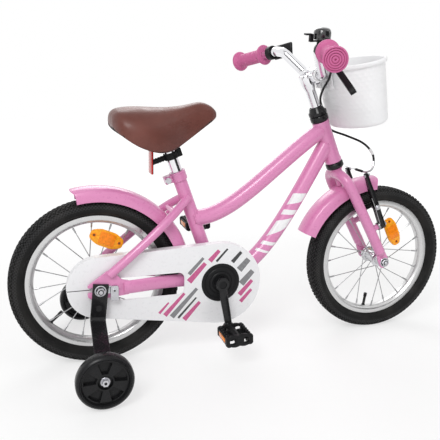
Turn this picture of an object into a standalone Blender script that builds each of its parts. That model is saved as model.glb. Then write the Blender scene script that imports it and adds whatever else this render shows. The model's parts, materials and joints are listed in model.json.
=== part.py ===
"""A child's bicycle with stabilisers, in metres.

+X is forward, +Y is the rider's left and +Z is up. The origin is on the ground, midway
between the two wheel axles. The right side, with the chain guard, is at -Y.
"""

import math

import bmesh
import bpy
from mathutils import Matrix, Vector

# Fits
GAP = 0.0003
RUNNING_GAP = 0.0015

# Wheels and stance
WHEEL_RADIUS = 0.174
WHEELBASE = 0.664
TYRE_WIDTH = 0.048
TYRE_STEPS = 36
RIM_RADIUS = 0.143
RIM_WIDTH = 0.026
RIM_DEPTH = 0.018
RIM_WALL = 0.003
TYRE_PROFILE = ((0.115, 0.375), (0.46, 0.49), (0.79, 0.45))
RIM_FLOOR = 0.010
HUB_FLANGE_RADIUS = 0.019
HUB_FLANGE_OFFSET = 0.022
HUB_BARREL_RADIUS = 0.012
SPOKE_RADIUS = 0.001
SPOKE_COUNT = 20
SPOKE_END_OFFSET = 0.003
SPOKE_CROSSING = 0.0013
SPOKE_LEAD = math.radians(52)
AXLE_RADIUS = 0.005
NUT_RADIUS = 0.0095
CONE_RADIUS = 0.008
REFLECTOR_LENGTH = 0.070
REFLECTOR_HEIGHT = 0.034
REFLECTOR_THICKNESS = 0.006
REAR_REFLECTOR_RADIUS = 0.093
REAR_REFLECTOR_ANGLE = math.radians(77)
REAR_REFLECTOR_TILT = math.radians(-10)
FRONT_REFLECTOR_RADIUS = 0.074
FRONT_REFLECTOR_ANGLE = math.radians(60)
FRONT_REFLECTOR_TILT = math.radians(-37)

# Frame
BRACKET_FORWARD = 0.256
BRACKET_DROP = 0.0115
BRACKET_SHELL_RADIUS = 0.020
BRACKET_SHELL_WIDTH = 0.070
SEAT_ANGLE = math.radians(70.1)
SEAT_TUBE_LENGTH = 0.2313
SEAT_TUBE_RADIUS = 0.0143
MAIN_TUBE_RADIUS = 0.0175
TOP_TUBE_LOW = 0.142
TOP_TUBE_HIGH = 0.3483
DOWN_TUBE_HIGH = 0.3167
REAR_DROPOUT_INNER = 0.0545
DROPOUT_THICKNESS = 0.005
STAY_RADIUS = 0.009
CHAIN_STAY_HEIGHT = 0.028
CHAIN_STAY_WIDTH = 0.013
SEAT_STAY_HIGH = 0.1914
SEAT_STAY_SHARES = (0.332, 0.586)
CHAIN_STAY_SHARES = (0.383, 0.508)
BRIDGE_RADIUS = 0.212
BRIDGE_BAR_RADIUS = 0.0055
BRIDGE_HALF_WIDTH = 0.032

# Steering
HEAD_ANGLE = math.radians(66.5)
FORK_OFFSET = 0.021
HEAD_TUBE_RADIUS = 0.018
HEAD_TUBE_BASE = 0.2676
HEAD_TUBE_LENGTH = 0.099
HEADSET_HEIGHT = 0.0155
HEADSET_RADIUS = 0.0205
LOCKNUT_HEIGHT = 0.018
STEERER_RADIUS = 0.0127
QUILL_RADIUS = 0.011
CROWN_HEIGHT = 0.2385
CROWN_BEND = 0.042
BLADE_RADIUS = 0.012
BLADE_OFFSET = 0.0465
BLADE_END = 0.030
FRONT_DROPOUT_INNER = 0.044
STEM_HEIGHT = 0.4667
STEM_REACH = 0.021
STEM_CLAMP_RADIUS = 0.0165
STEM_CLAMP_WIDTH = 0.040
BAR_RADIUS = 0.011
BAR_RISE = 0.061
BAR_HALF_WIDTH = 0.246
BAR_INNER_BEND = 0.040
BAR_BEND_SHARES = (0.3455, 0.4797)
BAR_BEND_RADIUS = 0.022
KNEE_RADIUS = 0.0155
KNEE_BELOW = 0.022
KNEE_ABOVE = 0.010
GRIP_LENGTH = 0.3902 * BAR_HALF_WIDTH
GRIP_RADIUS = 0.0155
GRIP_FLANGE_RADIUS = 0.0235
CONTROL_OFFSET = 0.5488 * BAR_HALF_WIDTH
CONTROL_REACH = 0.034
CLAMP_WIDTH = 0.014
CLAMP_WALL = 0.005
LEVER_DROOP = math.radians(53)
LEVER_LENGTH = 0.088
LEVER_BARREL_END = 0.024
BRAKE_PIVOT_HEIGHT = 0.0885
BRAKE_PIVOT_FORWARD = 0.0465
BRAKE_ARM_OFFSET = 0.042
BRAKE_ARM_LENGTH = 0.1335
BRAKE_CABLE_RADIUS = 0.0025
BASKET_HEIGHT = 0.138
BASKET_DEPTH = 0.132
BASKET_WIDTH = 0.208
BASKET_TAPER = 0.86
BASKET_LEAN = math.radians(14)
BASKET_FORWARD = 0.082
BASKET_ABOVE = 0.031
BASKET_HOOK_OFFSET = 0.0245
BASKET_WALL = 0.0022
BASKET_LIP = 0.004
BELL_RADIUS = 0.0175
BELL_HEIGHT = 0.026
BELL_OFFSET = 0.4106 * BAR_HALF_WIDTH
BELL_FOOT_RADIUS = 0.010
BELL_FOOT_HEIGHT = 0.006
BELL_PIVOT_RADIUS = 0.003

# Drive
CRANK_LENGTH = 0.093
CRANK_ANGLE = math.radians(6.9)
CHAIN_PITCH = 0.0127
CHAINRING_TEETH = 32
SPROCKET_TEETH = 16
CHAIN_LINE = 0.040
CHAIN_WIDTH = 0.007
CHAIN_HEIGHT = 0.0045
GEAR_THICKNESS = 0.003
SPROCKET_BOSS = 0.012
SPINDLE_RADIUS = 0.008
PEDAL_OFFSET = 0.119
PEDAL_LENGTH = 0.058
PEDAL_WIDTH = 0.062
PEDAL_HEIGHT = 0.026
PEDAL_TILT = math.radians(3)
GUARD_REAR_RADIUS = 0.064
GUARD_FRONT_RADIUS = 0.090
GUARD_OUTER = 0.049
GUARD_INNER = 0.0305
GUARD_WALL = 0.0022
GUARD_DISC_RADIUS = 0.039

# Mudguards
MUDGUARD_RADIUS = 0.201
MUDGUARD_HALF_WIDTH = 0.029
MUDGUARD_DEPTH = 0.028
MUDGUARD_THICKNESS = 0.002
MUDGUARD_STEP = 7
REAR_MUDGUARD_START = 17
REAR_MUDGUARD_END = 104
FRONT_MUDGUARD_START = 90.5
FRONT_MUDGUARD_END = 157.5
FRONT_MUDGUARD_BACK = 0.016

# Seat
POST_RADIUS = 0.0127
POST_BOTTOM = 0.155
POST_TOP = 0.341
SADDLE_HEIGHT = 0.532
SADDLE_STATIONS = (
    (-0.106, 0.046, -0.008, -0.034),
    (-0.092, 0.068, -0.001, -0.054),
    (-0.059, 0.078, 0.000, -0.074),
    (-0.021, 0.074, -0.001, -0.086),
    (0.011, 0.058, -0.001, -0.083),
    (0.045, 0.037, 0.003, -0.066),
    (0.077, 0.027, 0.011, -0.045),
    (0.101, 0.022, 0.009, -0.030),
    (0.113, 0.013, 0.002, -0.018),
)
REFLECTOR_CLAMP_HEIGHT = 0.287

# Stabilisers
STABILISER_RADIUS = 0.053
STABILISER_WIDTH = 0.028
STABILISER_TRACK = 0.208
STABILISER_CLEARANCE = 0.003
STABILISER_LEAN = math.radians(6)
STABILISER_STEPS = 24
BRACKET_BAR_WIDTH = 0.031
BRACKET_BAR_THICKNESS = 0.004
TUG_THICKNESS = 0.003

RIGHT = -1
LEFT = 1
SIDES = {"right": RIGHT, "left": LEFT}

REAR_AXLE = Vector((-WHEELBASE / 2, 0, WHEEL_RADIUS))
FRONT_AXLE = Vector((WHEELBASE / 2, 0, WHEEL_RADIUS))
STEER_UP = Vector((-math.cos(HEAD_ANGLE), 0, math.sin(HEAD_ANGLE)))
STEER_FORWARD = Vector((math.sin(HEAD_ANGLE), 0, math.cos(HEAD_ANGLE)))
STEER_FOOT = FRONT_AXLE - FORK_OFFSET * STEER_FORWARD
BRACKET = REAR_AXLE + Vector((BRACKET_FORWARD, 0, -BRACKET_DROP))
SEAT_UP = Vector((-math.cos(SEAT_ANGLE), 0, math.sin(SEAT_ANGLE)))
SEAT_FORWARD = Vector((math.sin(SEAT_ANGLE), 0, math.cos(SEAT_ANGLE)))
ACROSS = Vector((0, 1, 0))
CHAINRING_RADIUS = CHAINRING_TEETH * CHAIN_PITCH / (2 * math.pi)
SPROCKET_RADIUS = SPROCKET_TEETH * CHAIN_PITCH / (2 * math.pi)
REAR_DROPOUT_OUTER = REAR_DROPOUT_INNER + DROPOUT_THICKNESS
HEAD_TUBE_TOP = HEAD_TUBE_BASE + HEAD_TUBE_LENGTH
SPOKE_START = HUB_FLANGE_RADIUS - 0.003
SPOKE_END = (RIM_RADIUS - RIM_DEPTH) * math.cos(math.pi / TYRE_STEPS) - 2 * GAP


def rear(forward, across, up):
    """A point measured from the rear axle."""
    return REAR_AXLE + Vector((forward, across, up))


def steer(up, forward, across=0.0):
    """A point measured along the steering axis, from the foot of the fork's offset."""
    return STEER_FOOT + up * STEER_UP + forward * STEER_FORWARD + across * ACROSS


def seat(up, forward=0.0, across=0.0):
    """A point measured along the seat tube, from the bottom bracket."""
    return BRACKET + up * SEAT_UP + forward * SEAT_FORWARD + across * ACROSS


# Scene, materials and objects


def clear_scene():
    for obj in list(bpy.data.objects):
        bpy.data.objects.remove(obj, do_unlink=True)


def new_collection(name):
    collection = bpy.data.collections.new(name)
    bpy.context.scene.collection.children.link(collection)
    return collection


def material(name, colour, roughness=0.4, metallic=0.0):
    made = bpy.data.materials.new(name)
    made.use_nodes = True
    shader = made.node_tree.nodes["Principled BSDF"]
    shader.inputs["Base Color"].default_value = (*colour, 1)
    shader.inputs["Roughness"].default_value = roughness
    shader.inputs["Metallic"].default_value = metallic
    made.diffuse_color = (*colour, 1)
    made.roughness = roughness
    made.metallic = metallic
    return made


clear_scene()
PARTS = new_collection("kids_bike")
CUTTERS = new_collection("cutters")
PINK = material("pink_paint", (0.72, 0.29, 0.50), 0.3)
BLACK_PLASTIC = material("black_plastic", (0.02, 0.02, 0.022), 0.45)
BLACK_STEEL = material("black_steel", (0.025, 0.025, 0.028), 0.35, 0.4)
WHITE_PLASTIC = material("white_plastic", (0.86, 0.86, 0.87), 0.35)
CHROME = material("chrome", (0.80, 0.80, 0.82), 0.1, 1.0)
SILVER = material("silver_alloy", (0.70, 0.70, 0.72), 0.3, 1.0)
ZINC = material("zinc_steel", (0.60, 0.60, 0.62), 0.35, 1.0)
RUBBER = material("black_rubber", (0.018, 0.018, 0.019), 0.7)
GRIP_RUBBER = material("pink_rubber", (0.62, 0.12, 0.33), 0.55)
BROWN = material("brown_cover", (0.20, 0.07, 0.045), 0.45)
ORANGE = material("orange_reflector", (0.95, 0.32, 0.02), 0.15)
RED = material("red_reflector", (0.55, 0.01, 0.03), 0.15)


def place(obj, matrix):
    obj.matrix_world = matrix
    bpy.context.view_layer.update()
    return obj


def new_object(name, data, look=None, matrix=None):
    obj = bpy.data.objects.new(name, data)
    PARTS.objects.link(obj)
    if look is not None:
        data.materials.append(look)
    return place(obj, matrix or Matrix())


def frame_matrix(origin, up, forward):
    """A frame at origin with local Z along up and local X as near to forward as it can be."""
    z_axis = up.normalized()
    y_axis = z_axis.cross(forward).normalized()
    x_axis = y_axis.cross(z_axis)
    turned = Matrix((x_axis, y_axis, z_axis)).transposed().to_4x4()
    return Matrix.Translation(origin) @ turned


def side_plane(origin):
    """Local X forward, local Y up and local Z towards the bicycle's right."""
    return frame_matrix(origin, -ACROSS, Vector((1, 0, 0)))


def smooth(obj, degrees=40):
    obj.data.shade_smooth()
    obj.data.set_sharp_from_angle(angle=math.radians(degrees))
    return obj


def meshed(curve_object):
    """The curve as a mesh object under the same name, its caps welded on."""
    graph = bpy.context.evaluated_depsgraph_get()
    mesh = bpy.data.meshes.new_from_object(curve_object.evaluated_get(graph))
    shape = bmesh.new()
    shape.from_mesh(mesh)
    bmesh.ops.remove_doubles(shape, verts=shape.verts, dist=1e-6)
    bmesh.ops.recalc_face_normals(shape, faces=shape.faces)
    shape.to_mesh(mesh)
    shape.free()
    name = curve_object.name
    matrix = curve_object.matrix_world.copy()
    bpy.data.objects.remove(curve_object, do_unlink=True)
    obj = bpy.data.objects.new(name, mesh)
    PARTS.objects.link(obj)
    return smooth(place(obj, matrix))


def boolean(target, others, operation):
    """Adds one Boolean for each of the others, which become helpers."""
    for other in others:
        PARTS.objects.unlink(other)
        CUTTERS.objects.link(other)
        other.hide_render = True
        other.display_type = "WIRE"
        modifier = target.modifiers.new(operation.title(), "BOOLEAN")
        modifier.operation = operation
        modifier.object = other
    return target


def cut(target, *others):
    return boolean(target, others, "DIFFERENCE")


def unite(target, *others):
    return boolean(target, others, "UNION")


def keep_within(target, other):
    return boolean(target, [other], "INTERSECT")


# Basic shapes


def from_bmesh(name, shape, look, matrix):
    mesh = bpy.data.meshes.new(name)
    bmesh.ops.recalc_face_normals(shape, faces=shape.faces)
    shape.to_mesh(mesh)
    shape.free()
    return new_object(name, mesh, look, matrix)


def box(name, size, centre, look=None, matrix=None):
    """A box of the given size, centred at a point of the frame that matrix gives."""
    shape = bmesh.new()
    bmesh.ops.create_cube(shape, size=1)
    bmesh.ops.scale(shape, vec=size, verts=shape.verts)
    bmesh.ops.translate(shape, vec=centre, verts=shape.verts)
    return from_bmesh(name, shape, look, matrix)


def rod(name, start, end, radius, look=None, sides=16, end_radius=None):
    """A round bar, or a cone, between two points."""
    start = Vector(start)
    end = Vector(end)
    helper = Vector((1, 0, 0)) if abs((end - start).normalized().x) < 0.9 else ACROSS
    shape = bmesh.new()
    bmesh.ops.create_cone(
        shape,
        cap_ends=True,
        segments=sides,
        radius1=radius,
        radius2=radius if end_radius is None else end_radius,
        depth=(end - start).length,
    )
    matrix = frame_matrix((start + end) / 2, end - start, helper)
    return smooth(from_bmesh(name, shape, look, matrix))


def cross_rod(name, point, radius, low, high, look=None, sides=12):
    """A round bar across the bicycle through a point, from y = low to y = high."""
    start = Vector((point.x, low, point.z))
    end = Vector((point.x, high, point.z))
    return rod(name, start, end, radius, look, sides)


def turned(name, profile, matrix, look=None, steps=32, closed=False, angle=2 * math.pi):
    """A profile of (radius, height) points turned about local Z."""
    area = sum(
        a[0] * b[1] - b[0] * a[1] for a, b in zip(profile, profile[1:] + profile[:1])
    )
    points = profile if area < 0 else profile[::-1]
    ends = list(zip(range(len(points)), range(1, len(points))))
    if closed:
        ends.append((len(points) - 1, 0))
    mesh = bpy.data.meshes.new(name)
    mesh.from_pydata([(radius, 0, height) for radius, height in points], ends, [])
    obj = new_object(name, mesh, look, matrix)
    modifier = obj.modifiers.new("Turn", "SCREW")
    modifier.angle = angle
    modifier.steps = steps
    modifier.render_steps = steps
    modifier.use_merge_vertices = True
    modifier.merge_threshold = 0.00001
    modifier.use_smooth_shade = True
    return obj


def ring(name, inner, outer, low, high, matrix, look=None, steps=24):
    profile = [(inner, low), (inner, high), (outer, high), (outer, low)]
    return turned(name, profile, matrix, look, steps, closed=True)


def curve_data(name, dimensions):
    data = bpy.data.curves.new(name, "CURVE")
    data.dimensions = dimensions
    return data


def add_loop(data, points, cyclic=True, radii=None):
    spline = data.splines.new("POLY")
    spline.points.add(len(points) - 1)
    spline.use_cyclic_u = cyclic
    for index, point in enumerate(points):
        spline.points[index].co = (*point, 1) if len(point) == 3 else (*point, 0, 1)
        if radii is not None:
            spline.points[index].radius = radii[index]


def tube(name, points, radius, look=None, fineness=3, radii=None):
    """A round tube along points in the bicycle's frame."""
    data = curve_data(name, "3D")
    data.bevel_depth = radius
    data.bevel_resolution = fineness
    data.use_fill_caps = True
    add_loop(data, [tuple(point) for point in points], False, radii)
    obj = meshed(new_object(name, data, look))
    return obj


def oval_tube(name, points, width, height, look=None):
    """A tube along points with an oval section that stays upright."""
    oval = curve_data(name + "_section", "2D")
    turns = [2 * math.pi * step / 12 for step in range(12)]
    section = [(width / 2 * math.cos(a), height / 2 * math.sin(a)) for a in turns]
    add_loop(oval, section)
    guide = new_object(name + "_section", oval)
    data = curve_data(name, "3D")
    data.bevel_mode = "OBJECT"
    data.bevel_object = guide
    data.use_fill_caps = True
    data.twist_mode = "Z_UP"
    add_loop(data, [tuple(point) for point in points], False)
    obj = meshed(new_object(name, data, look))
    bpy.data.objects.remove(guide, do_unlink=True)
    return obj


def plate(name, loops, low, high, matrix, look=None):
    """Flat outlines, the first one outer and the rest holes, filled from low to high."""
    data = curve_data(name, "2D")
    data.fill_mode = "BOTH"
    data.extrude = (high - low) / 2
    for loop in loops:
        add_loop(data, loop)
    middle = Matrix.Translation((0, 0, (low + high) / 2))
    return meshed(new_object(name, data, look, matrix @ middle))


# Outlines and paths


def arc(centre, radius, start, end, count):
    """Points on an arc, with the angles in degrees."""
    angles = [math.radians(start + (end - start) * i / count) for i in range(count + 1)]
    return [
        (centre[0] + radius * math.cos(a), centre[1] + radius * math.sin(a))
        for a in angles
    ]


def circle(centre, radius, count):
    return arc(centre, radius, 0, 360, count)[:-1]


def belt(centre_a, radius_a, centre_b, radius_b, count):
    """The outline of a belt that runs around two circles, b ahead of a."""
    apart = Vector(centre_b) - Vector(centre_a)
    lean = math.degrees(math.atan2(apart.y, apart.x))
    spread = math.degrees(math.acos((radius_a - radius_b) / apart.length))
    around_b = arc(centre_b, radius_b, lean - spread, lean + spread, count)
    around_a = arc(centre_a, radius_a, lean + spread, lean + 360 - spread, count)
    return around_b + around_a


def rounded_box(low, high, radius, count=4):
    corners = (
        (high[0] - radius, high[1] - radius, 0),
        (low[0] + radius, high[1] - radius, 90),
        (low[0] + radius, low[1] + radius, 180),
        (high[0] - radius, low[1] + radius, 270),
    )
    points = []
    for x, y, start in corners:
        points += arc((x, y), radius, start, start + 90, count)
    return points


def bezier(start, start_handle, end_handle, end, count):
    points = []
    for step in range(count + 1):
        t = step / count
        s = 1 - t
        points.append(
            s**3 * start
            + 3 * s * s * t * start_handle
            + 3 * s * t * t * end_handle
            + t**3 * end
        )
    return points


def filleted(points, radius, count=4):
    """A path through points with each inner corner rounded."""
    points = [Vector(point) for point in points]
    path = [points[0]]
    for before, corner, after in zip(points, points[1:], points[2:]):
        back = (before - corner).normalized()
        ahead = (after - corner).normalized()
        reach = radius / math.tan(back.angle(ahead) / 2)
        reach = min(reach, (before - corner).length / 2.1, (after - corner).length / 2.1)
        start = corner + reach * back
        end = corner + reach * ahead
        for step in range(count + 1):
            t = step / count
            path.append((1 - t) ** 2 * start + 2 * t * (1 - t) * corner + t * t * end)
    path.append(points[-1])
    return path


def smooth_path(points, count):
    """A smooth path through every point, with count steps in each span."""
    points = [Vector(point) for point in points]
    ends = [2 * points[0] - points[1], *points, 2 * points[-1] - points[-2]]
    path = []
    for p0, p1, p2, p3 in zip(ends, ends[1:], ends[2:], ends[3:]):
        for step in range(count):
            t = step / count
            path.append(
                0.5
                * (
                    2 * p1
                    + t * (p2 - p0)
                    + t * t * (2 * p0 - 5 * p1 + 4 * p2 - p3)
                    + t**3 * (3 * p1 - p0 - 3 * p2 + p3)
                )
            )
    path.append(points[-1])
    return path


# Wheels


def tyre(name, axle):
    """A solid tyre, seated in the rim, with a flat facet on the ground.

    TYRE_PROFILE holds shares of its height down from the tread and of its width.
    """
    tread_radius = WHEEL_RADIUS / math.cos(math.pi / TYRE_STEPS)
    height = WHEEL_RADIUS - RIM_RADIUS
    bead = RIM_WIDTH / 2 - RIM_WALL - GAP
    half = [(tread_radius, TYRE_WIDTH * 0.16)]
    half += [
        (WHEEL_RADIUS - height * down, TYRE_WIDTH * across) for down, across in TYRE_PROFILE
    ]
    half.append((RIM_RADIUS + GAP, bead))
    half.append((RIM_RADIUS - RIM_FLOOR + GAP, bead))
    profile = half + [(radius, -height) for radius, height in half[::-1]]
    matrix = side_plane(axle) @ Matrix.Rotation(math.pi / TYRE_STEPS, 4, "Z")
    return turned(name, profile, matrix, RUBBER, TYRE_STEPS, closed=True)


def rim(name, axle):
    half_width = RIM_WIDTH / 2
    half = [
        (RIM_RADIUS - RIM_FLOOR, half_width - RIM_WALL),
        (RIM_RADIUS, half_width - RIM_WALL),
        (RIM_RADIUS, half_width),
        (RIM_RADIUS - 0.65 * RIM_DEPTH, half_width),
        (RIM_RADIUS - RIM_DEPTH, half_width / 2),
    ]
    profile = half + [(radius, -height) for radius, height in half[::-1]]
    matrix = side_plane(axle) @ Matrix.Rotation(math.pi / TYRE_STEPS, 4, "Z")
    return turned(name, profile, matrix, SILVER, TYRE_STEPS, closed=True)


def spoke_at(radius):
    """The share of a spoke that lies inside a radius, and its angle there from its rim end."""
    start = SPOKE_START
    across = start * SPOKE_END * math.cos(SPOKE_LEAD)
    a = start**2 + SPOKE_END**2 - 2 * across
    b = across - start**2
    travelled = (math.sqrt(b * b - a * (start**2 - radius**2)) - b) / a
    sideways = (1 - travelled) * start * math.sin(SPOKE_LEAD)
    return travelled, math.asin(sideways / radius)


def spoke_offset(radius):
    """How far an outer spoke's centre is from the wheel's middle plane at a radius."""
    travelled = spoke_at(radius)[0]
    at_hub = HUB_FLANGE_OFFSET + SPOKE_CROSSING
    return at_hub * (1 - travelled) + SPOKE_END_OFFSET * travelled


def hub(name, axle, right_end, left_end, first):
    """A hub shell with its spokes, laced in crossing pairs, the first one ending at an angle."""
    flange = 0.0015
    right_flange = HUB_FLANGE_OFFSET
    profile = [
        (AXLE_RADIUS + GAP, right_end),
        (HUB_BARREL_RADIUS + 0.002, right_end),
        (HUB_BARREL_RADIUS + 0.002, right_flange + flange),
        (HUB_FLANGE_RADIUS, right_flange + flange),
        (HUB_FLANGE_RADIUS, right_flange - flange),
        (HUB_BARREL_RADIUS, right_flange - 3 * flange),
        (HUB_BARREL_RADIUS, -right_flange + 3 * flange),
        (HUB_FLANGE_RADIUS, -right_flange + flange),
        (HUB_FLANGE_RADIUS, -right_flange - flange),
        (HUB_BARREL_RADIUS + 0.002, -right_flange - flange),
        (HUB_BARREL_RADIUS + 0.002, -left_end),
        (AXLE_RADIUS + GAP, -left_end),
    ]
    shell = turned(name, profile, side_plane(axle), SILVER, 16, closed=True)
    spokes = []
    for index in range(SPOKE_COUNT):
        side = 1 if index % 2 else -1
        turn = 1 if index % 4 < 2 else -1
        rim_angle = first + 2 * math.pi * index / SPOKE_COUNT
        hub_angle = rim_angle + turn * SPOKE_LEAD
        hub_side = side * HUB_FLANGE_OFFSET + turn * side * SPOKE_CROSSING
        start = Vector(
            (SPOKE_START * math.cos(hub_angle), hub_side, SPOKE_START * math.sin(hub_angle))
        )
        end = Vector(
            (
                SPOKE_END * math.cos(rim_angle),
                side * SPOKE_END_OFFSET,
                SPOKE_END * math.sin(rim_angle),
            )
        )
        spokes.append(
            rod(f"{name}_spoke_{index}", axle + start, axle + end, SPOKE_RADIUS, sides=4)
        )
    return unite(shell, *spokes)


def wheel_reflector(name, axle, radius, angle, tilt):
    """An oval reflector clipped flat against the right spokes."""
    reach = REFLECTOR_LENGTH / 2
    fall = spoke_offset(radius - reach) - spoke_offset(radius + reach)
    lean = math.atan2(fall, REFLECTOR_LENGTH)
    face = spoke_offset(radius) + SPOKE_RADIUS + GAP
    outline = rounded_box(
        (-REFLECTOR_LENGTH / 2, -REFLECTOR_HEIGHT / 2),
        (REFLECTOR_LENGTH / 2, REFLECTOR_HEIGHT / 2),
        REFLECTOR_HEIGHT * 0.42,
    )
    matrix = (
        side_plane(axle)
        @ Matrix.Rotation(angle - math.pi / 2, 4, "Z")
        @ Matrix.Translation((0, radius, face))
        @ Matrix.Rotation(-lean, 4, "X")
        @ Matrix.Rotation(tilt, 4, "Z")
    )
    return plate(name, [outline], 0, REFLECTOR_THICKNESS, matrix, ORANGE)


def wheel_axle(name, axle, inner, outer, nut):
    """An axle with a cone against each dropout's inside and a nut on its outside."""
    shaft = cross_rod(name, axle, AXLE_RADIUS, -outer - nut - 0.002, outer + nut + 0.002, ZINC)
    for label, side in SIDES.items():
        cone = sorted((side * (inner - 0.005), side * (inner - GAP)))
        head = sorted((side * (outer + GAP), side * (outer + nut)))
        unite(
            shaft,
            cross_rod(f"{name}_{label}_cone", axle, CONE_RADIUS, *cone),
            cross_rod(f"{name}_{label}_nut", axle, NUT_RADIUS, *head, sides=6),
        )
    return shaft


# Frame


def shell_cutter(name):
    reach = BRACKET_SHELL_WIDTH
    return cross_rod(name, BRACKET, BRACKET_SHELL_RADIUS + GAP, -reach, reach, sides=32)


def seat_tube_cutter(name):
    high = seat(SEAT_TUBE_LENGTH + 0.05)
    return rod(name, seat(0), high, SEAT_TUBE_RADIUS + GAP, sides=24)


def head_tube_cutter(name):
    low = steer(HEAD_TUBE_BASE - 0.03, 0)
    high = steer(HEAD_TUBE_TOP + 0.03, 0)
    return rod(name, low, high, HEAD_TUBE_RADIUS + GAP, sides=24)


def head_tube():
    matrix = frame_matrix(steer(HEAD_TUBE_BASE, 0), STEER_UP, STEER_FORWARD)
    bore = STEERER_RADIUS + RUNNING_GAP
    return ring("head_tube", bore, HEAD_TUBE_RADIUS, 0, HEAD_TUBE_LENGTH, matrix, PINK)


def headset_cup(name, low, matrix):
    lip = 0.003
    bore = STEERER_RADIUS + GAP
    high = low + HEADSET_HEIGHT
    profile = [
        (bore, low),
        (bore, high),
        (HEADSET_RADIUS - lip, high),
        (HEADSET_RADIUS, high - lip),
        (HEADSET_RADIUS, low + lip),
        (HEADSET_RADIUS - lip, low),
    ]
    return turned(name, profile, matrix, BLACK_STEEL, 20, closed=True)


def headset():
    matrix = frame_matrix(STEER_FOOT, STEER_UP, STEER_FORWARD)
    upper = headset_cup("upper_headset_cup", HEAD_TUBE_TOP + GAP, matrix)
    lower_base = HEAD_TUBE_BASE - GAP - HEADSET_HEIGHT
    lower = headset_cup("lower_headset_cup", lower_base, matrix)
    base = HEAD_TUBE_TOP + HEADSET_HEIGHT + 2 * GAP
    neck = LOCKNUT_HEIGHT * 0.55
    bore = STEERER_RADIUS + GAP
    profile = [
        (bore, base),
        (bore, base + LOCKNUT_HEIGHT),
        (HEADSET_RADIUS * 0.72, base + LOCKNUT_HEIGHT),
        (HEADSET_RADIUS * 0.85, base + neck),
        (HEADSET_RADIUS, base + neck * 0.7),
        (HEADSET_RADIUS, base),
    ]
    locknut = turned("headset_locknut", profile, matrix, BLACK_STEEL, 24, closed=True)
    return [upper, lower], [locknut]


def seat_tube():
    """The seat tube, bored for the post, with the bottom bracket shell at its foot."""
    tube_top = seat(SEAT_TUBE_LENGTH)
    obj = rod("seat_tube", seat(0), tube_top, SEAT_TUBE_RADIUS, PINK, 24)
    half = BRACKET_SHELL_WIDTH / 2
    shell = cross_rod("bracket_shell", BRACKET, BRACKET_SHELL_RADIUS, -half, half, sides=32)
    spindle_bore = cross_rod(
        "spindle_bore", BRACKET, SPINDLE_RADIUS + GAP, -half - 0.01, half + 0.01
    )
    post_bore = rod(
        "post_bore", seat(POST_BOTTOM - 0.06), seat(SEAT_TUBE_LENGTH + 0.01), POST_RADIUS + GAP, sides=24
    )
    unite(obj, shell)
    return cut(obj, spindle_bore, post_bore)


def top_tube():
    start = seat(TOP_TUBE_LOW)
    end = steer(TOP_TUBE_HIGH, 0)
    span = end - start
    path = bezier(
        start,
        start + Vector((0.296 * span.x, 0, -0.009 * span.z)),
        end - Vector((0.447 * span.x, 0, 0.496 * span.z)),
        end,
        12,
    )
    obj = tube("top_tube", path, MAIN_TUBE_RADIUS, PINK, 5)
    return cut(obj, head_tube_cutter("top_tube_head"), seat_tube_cutter("top_tube_seat"))


def down_tube():
    start = steer(DOWN_TUBE_HIGH, 0)
    end = BRACKET.copy()
    span = end - start
    path = bezier(
        start,
        start + Vector((0.461 * span.x, 0, 0.765 * span.z)),
        end - Vector((0.341 * span.x, 0, -0.025 * span.z)),
        end,
        14,
    )
    obj = tube("down_tube", path, MAIN_TUBE_RADIUS, PINK, 5)
    return cut(
        obj,
        head_tube_cutter("down_tube_head"),
        seat_tube_cutter("down_tube_seat"),
        shell_cutter("down_tube_shell"),
    )


def dropout_outline():
    slot = AXLE_RADIUS + GAP
    return [
        (-0.024, slot + 0.004),
        (0.017, 0.039),
        (0.030, 0.033),
        (0.044, 0.017),
        (0.060, 0.014),
        (0.060, -0.014),
        (0.020, -0.018),
        (-0.018, -0.018),
        (-0.024, -0.014),
        (-0.024, -slot),
        (0.004, -slot),
        (0.006, 0),
        (0.004, slot),
        (-0.024, slot),
    ]


def seat_stay_path(side):
    return bezier(
        rear(0.019, side * REAR_DROPOUT_OUTER, 0.029),
        rear(SEAT_STAY_SHARES[0] * BRACKET_FORWARD, side * REAR_DROPOUT_OUTER, 0.083),
        rear(SEAT_STAY_SHARES[1] * BRACKET_FORWARD, side * 0.058, 0.140),
        seat(SEAT_STAY_HIGH, 0, side * 0.010),
        10,
    )


def rear_stays(label, side):
    """One side's dropout, chain stay and seat stay, welded together."""
    chain_stay_side = REAR_DROPOUT_INNER + DROPOUT_THICKNESS / 2
    half_shell = BRACKET_SHELL_WIDTH / 2
    low, high = sorted((-side * REAR_DROPOUT_INNER, -side * REAR_DROPOUT_OUTER))
    obj = plate(f"{label}_stays", [dropout_outline()], low, high, side_plane(REAR_AXLE), PINK)
    stay_path = bezier(
        rear(0.048, side * chain_stay_side, 0),
        rear(CHAIN_STAY_SHARES[0] * BRACKET_FORWARD, side * chain_stay_side, 0),
        rear(CHAIN_STAY_SHARES[1] * BRACKET_FORWARD, side * 0.027, -0.002),
        BRACKET + side * (half_shell - 0.010) * ACROSS,
        8,
    )
    chain_stay = oval_tube(f"{label}_chain_stay", stay_path, CHAIN_STAY_WIDTH, CHAIN_STAY_HEIGHT)
    seat_stay = tube(f"{label}_seat_stay", seat_stay_path(side), STAY_RADIUS, fineness=2)
    unite(obj, chain_stay, seat_stay)
    return cut(obj, shell_cutter(f"{label}_stay_shell"), seat_tube_cutter(f"{label}_stay_seat"))


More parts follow.
